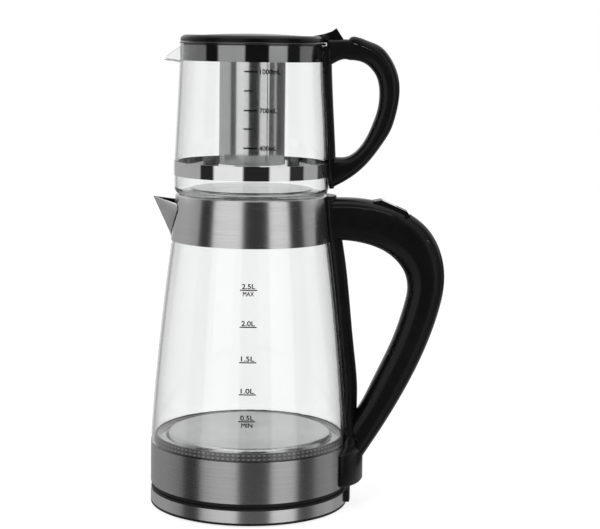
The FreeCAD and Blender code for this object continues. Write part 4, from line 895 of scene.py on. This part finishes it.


# the joint along the foot, a real seam drawn dark as painted shadow of its gap, a thin ring round each point
# of its line:
# foot + size (cos t outward + sin t across), where outward is level and across is square to it and to the
# line
def spoutSeamShadow(values):
    foot = spoutFoot(values)
    along = np.gradient(foot, axis=0)
    along /= np.linalg.norm(along, axis=1)[:, None]
    outward = foot * [1, 1, 0]
    outward /= np.linalg.norm(outward, axis=1)[:, None]
    across = np.cross(along, outward)
    turn = np.linspace(0, 2 * np.pi, values["beadSides"], endpoint=False)[None, :, None]
    size = np.full(len(foot), values["bead"])
    size[[0, -1]] = values["bead"] / values["beadThinning"]
    ring = np.cos(turn) * outward[:, None] + np.sin(turn) * across[:, None]
    grid = foot[:, None] + size[:, None, None] * ring
    mesh = closed(stripMesh("spoutSeamShadow", grid, around=True))
    addPiece("spoutSeamShadow", mesh, "paintedShadeSteel", "kettle")


kettleSpout(spoutSettings)
spoutSeamShadow(spoutSettings)
print("beak made")


# graduations printed on the two glasses

markSettings = {
    "inkDepth": 0.00004,
    "lift": 0.00010,
    "pointShare": 1.35,  # the font's size for a letter of height 1
    "curveSteps": 4,
    "kettle": {
        # height of the line, word above, word below
        "heights": [(0.1954, "2.5L", "MAX"), (0.1654, "2.0L", ""), (0.1366, "1.5L", ""), (0.1104, "1.0L", ""),
                    (0.0884, "0.5L", "MIN")],
        "middle": 0.0005, "lineWidth": 0.0140, "lineHeight": 0.0009, "word": (0.0110, 0.0042),
        "wordGap": 0.0009, "small": (0.0092, 0.0038), "smallGap": 0.0011, "bold": 0.03,
        "profile": [(0.0549, 0.0844), (0.066, 0.0844), (0.096, 0.0816), (0.127, 0.0790), (0.160, 0.0756),
                    (0.190, 0.0724), (0.222, 0.0682)],  # height, outer radius
    },
    "teapot": {
        "heights": [(0.3721, "1000mL"), (0.3566, ""), (0.3408, "700mL"), (0.3260, ""), (0.3105, "400mL")],
        "longTick": (-0.0051, 0.0060), "shortTick": (-0.0051, 0.0021), "lineHeight": 0.0012,
        "letter": (0.00285, 0.0043), "textStart": 0.0078, "bold": 0.035,
        "profile": [(0.296, 0.0654), (0.3783, 0.0612), (0.392, 0.0612)],
    },
}


# bends flat points (across, up, out) onto a round surface: across becomes an arc, out a radius
def wrapped(points, profile, lift):
    heights, radii = np.array(profile).T
    radius = np.interp(points[:, 1], heights, radii)
    angle = points[:, 0] / radius
    reach = radius + lift + points[:, 2]
    return np.stack([reach * np.sin(angle), -reach * np.cos(angle), points[:, 1]], 1)


# the thin mesh of a word, stretched to a width and height, its lower left corner at a place
def lettering(text, size, place, values, bold):
    curve = bpy.data.curves.new("word", "FONT")
    curve.body = text
    curve.size = size[1] * values["pointShare"]
    curve.extrude = values["inkDepth"]
    curve.bevel_depth = bold * size[1]
    curve.bevel_resolution = 0
    curve.resolution_u = values["curveSteps"]
    holder = bpy.data.objects.new("word", curve)
    bpy.context.scene.collection.objects.link(holder)
    bpy.context.view_layer.update()
    mesh = bpy.data.meshes.new_from_object(holder.evaluated_get(bpy.context.evaluated_depsgraph_get()))
    points = np.zeros(len(mesh.vertices) * 3)
    mesh.vertices.foreach_get("co", points)
    points = points.reshape(-1, 3)
    faces = [tuple(face.vertices) for face in mesh.polygons]
    bpy.data.objects.remove(holder)
    bpy.data.curves.remove(curve)
    bpy.data.meshes.remove(mesh)
    low, high = points.min(0), points.max(0)
    scale = np.array([size[0], size[1], 2 * values["inkDepth"]]) / (high - low)
    corner = np.array([low[0], low[1], 0.0])
    return (points - corner) * scale + np.array([place[0], place[1], 0.0]), faces


# a thin closed bar: a rectangle carried from left to right in even steps
def stroke(left, right, low, tall, depth, steps=16):
    across = np.linspace(left, right, steps + 1)
    corners = np.array([[low, -depth], [low + tall, -depth], [low + tall, depth], [low, depth]])
    points = np.concatenate([np.repeat(across, 4)[:, None], np.tile(corners, (steps + 1, 1))], 1)
    index = np.arange(steps)[:, None] * 4
    turn = np.array([[0, 1], [1, 2], [2, 3], [3, 0]])
    here, beside = index + turn[:, 0], index + turn[:, 1]
    quads = np.stack([here, beside, beside + 4, here + 4], 2)
    faces = [tuple(face) for face in quads.reshape(-1, 4)[:, ::-1].tolist()]
    last = steps * 4
    return points, faces + [(0, 1, 2, 3), (last + 3, last + 2, last + 1, last)]


# joins strokes and words and lays them on their glass
def printedPiece(name, made, values, shared, body):
    points = np.concatenate([part for part, faces in made])
    faces, start = [], 0
    for part, itsFaces in made:
        faces += [tuple(start + corner for corner in face) for face in itsFaces]
        start += len(part)
    mesh = bpy.data.meshes.new(name)
    mesh.from_pydata(wrapped(points, values["profile"], shared["lift"]).tolist(), [], faces)
    mesh.validate()
    addPiece(name, closed(mesh), "printInk", body)


def kettleMarks(values, shared):
    made = []
    middle, half = values["middle"], values["lineWidth"] / 2
    for height, above, below in values["heights"]:
        low = height - values["lineHeight"] / 2
        made.append(stroke(middle - half, middle + half, low, values["lineHeight"], shared["inkDepth"]))
        wide, tall = values["word"]
        made.append(lettering(above, (wide, tall), (middle - wide / 2, height + values["wordGap"]), shared,
                              values["bold"]))
        if below:
            wide, tall = values["small"]
            low = height - values["smallGap"] - tall
            made.append(lettering(below, (wide, tall), (middle - wide / 2, low), shared, values["bold"]))
    printedPiece("kettleMarks", made, values, shared, "kettle")


def teapotMarks(values, shared):
    made = []
    for height, word in values["heights"]:
        left, right = values["longTick"] if word else values["shortTick"]
        low = height - values["lineHeight"] / 2
        made.append(stroke(left, right, low, values["lineHeight"], shared["inkDepth"]))
        if word:
            wide, tall = values["letter"][0] * len(word), values["letter"][1]
            made.append(lettering(word, (wide, tall), (values["textStart"], height - tall / 2), shared,
                                  values["bold"]))
    printedPiece("teapotMarks", made, values, shared, "teapot")


kettleMarks(markSettings["kettle"], markSettings)
teapotMarks(markSettings["teapot"], markSettings)
print("graduations printed")
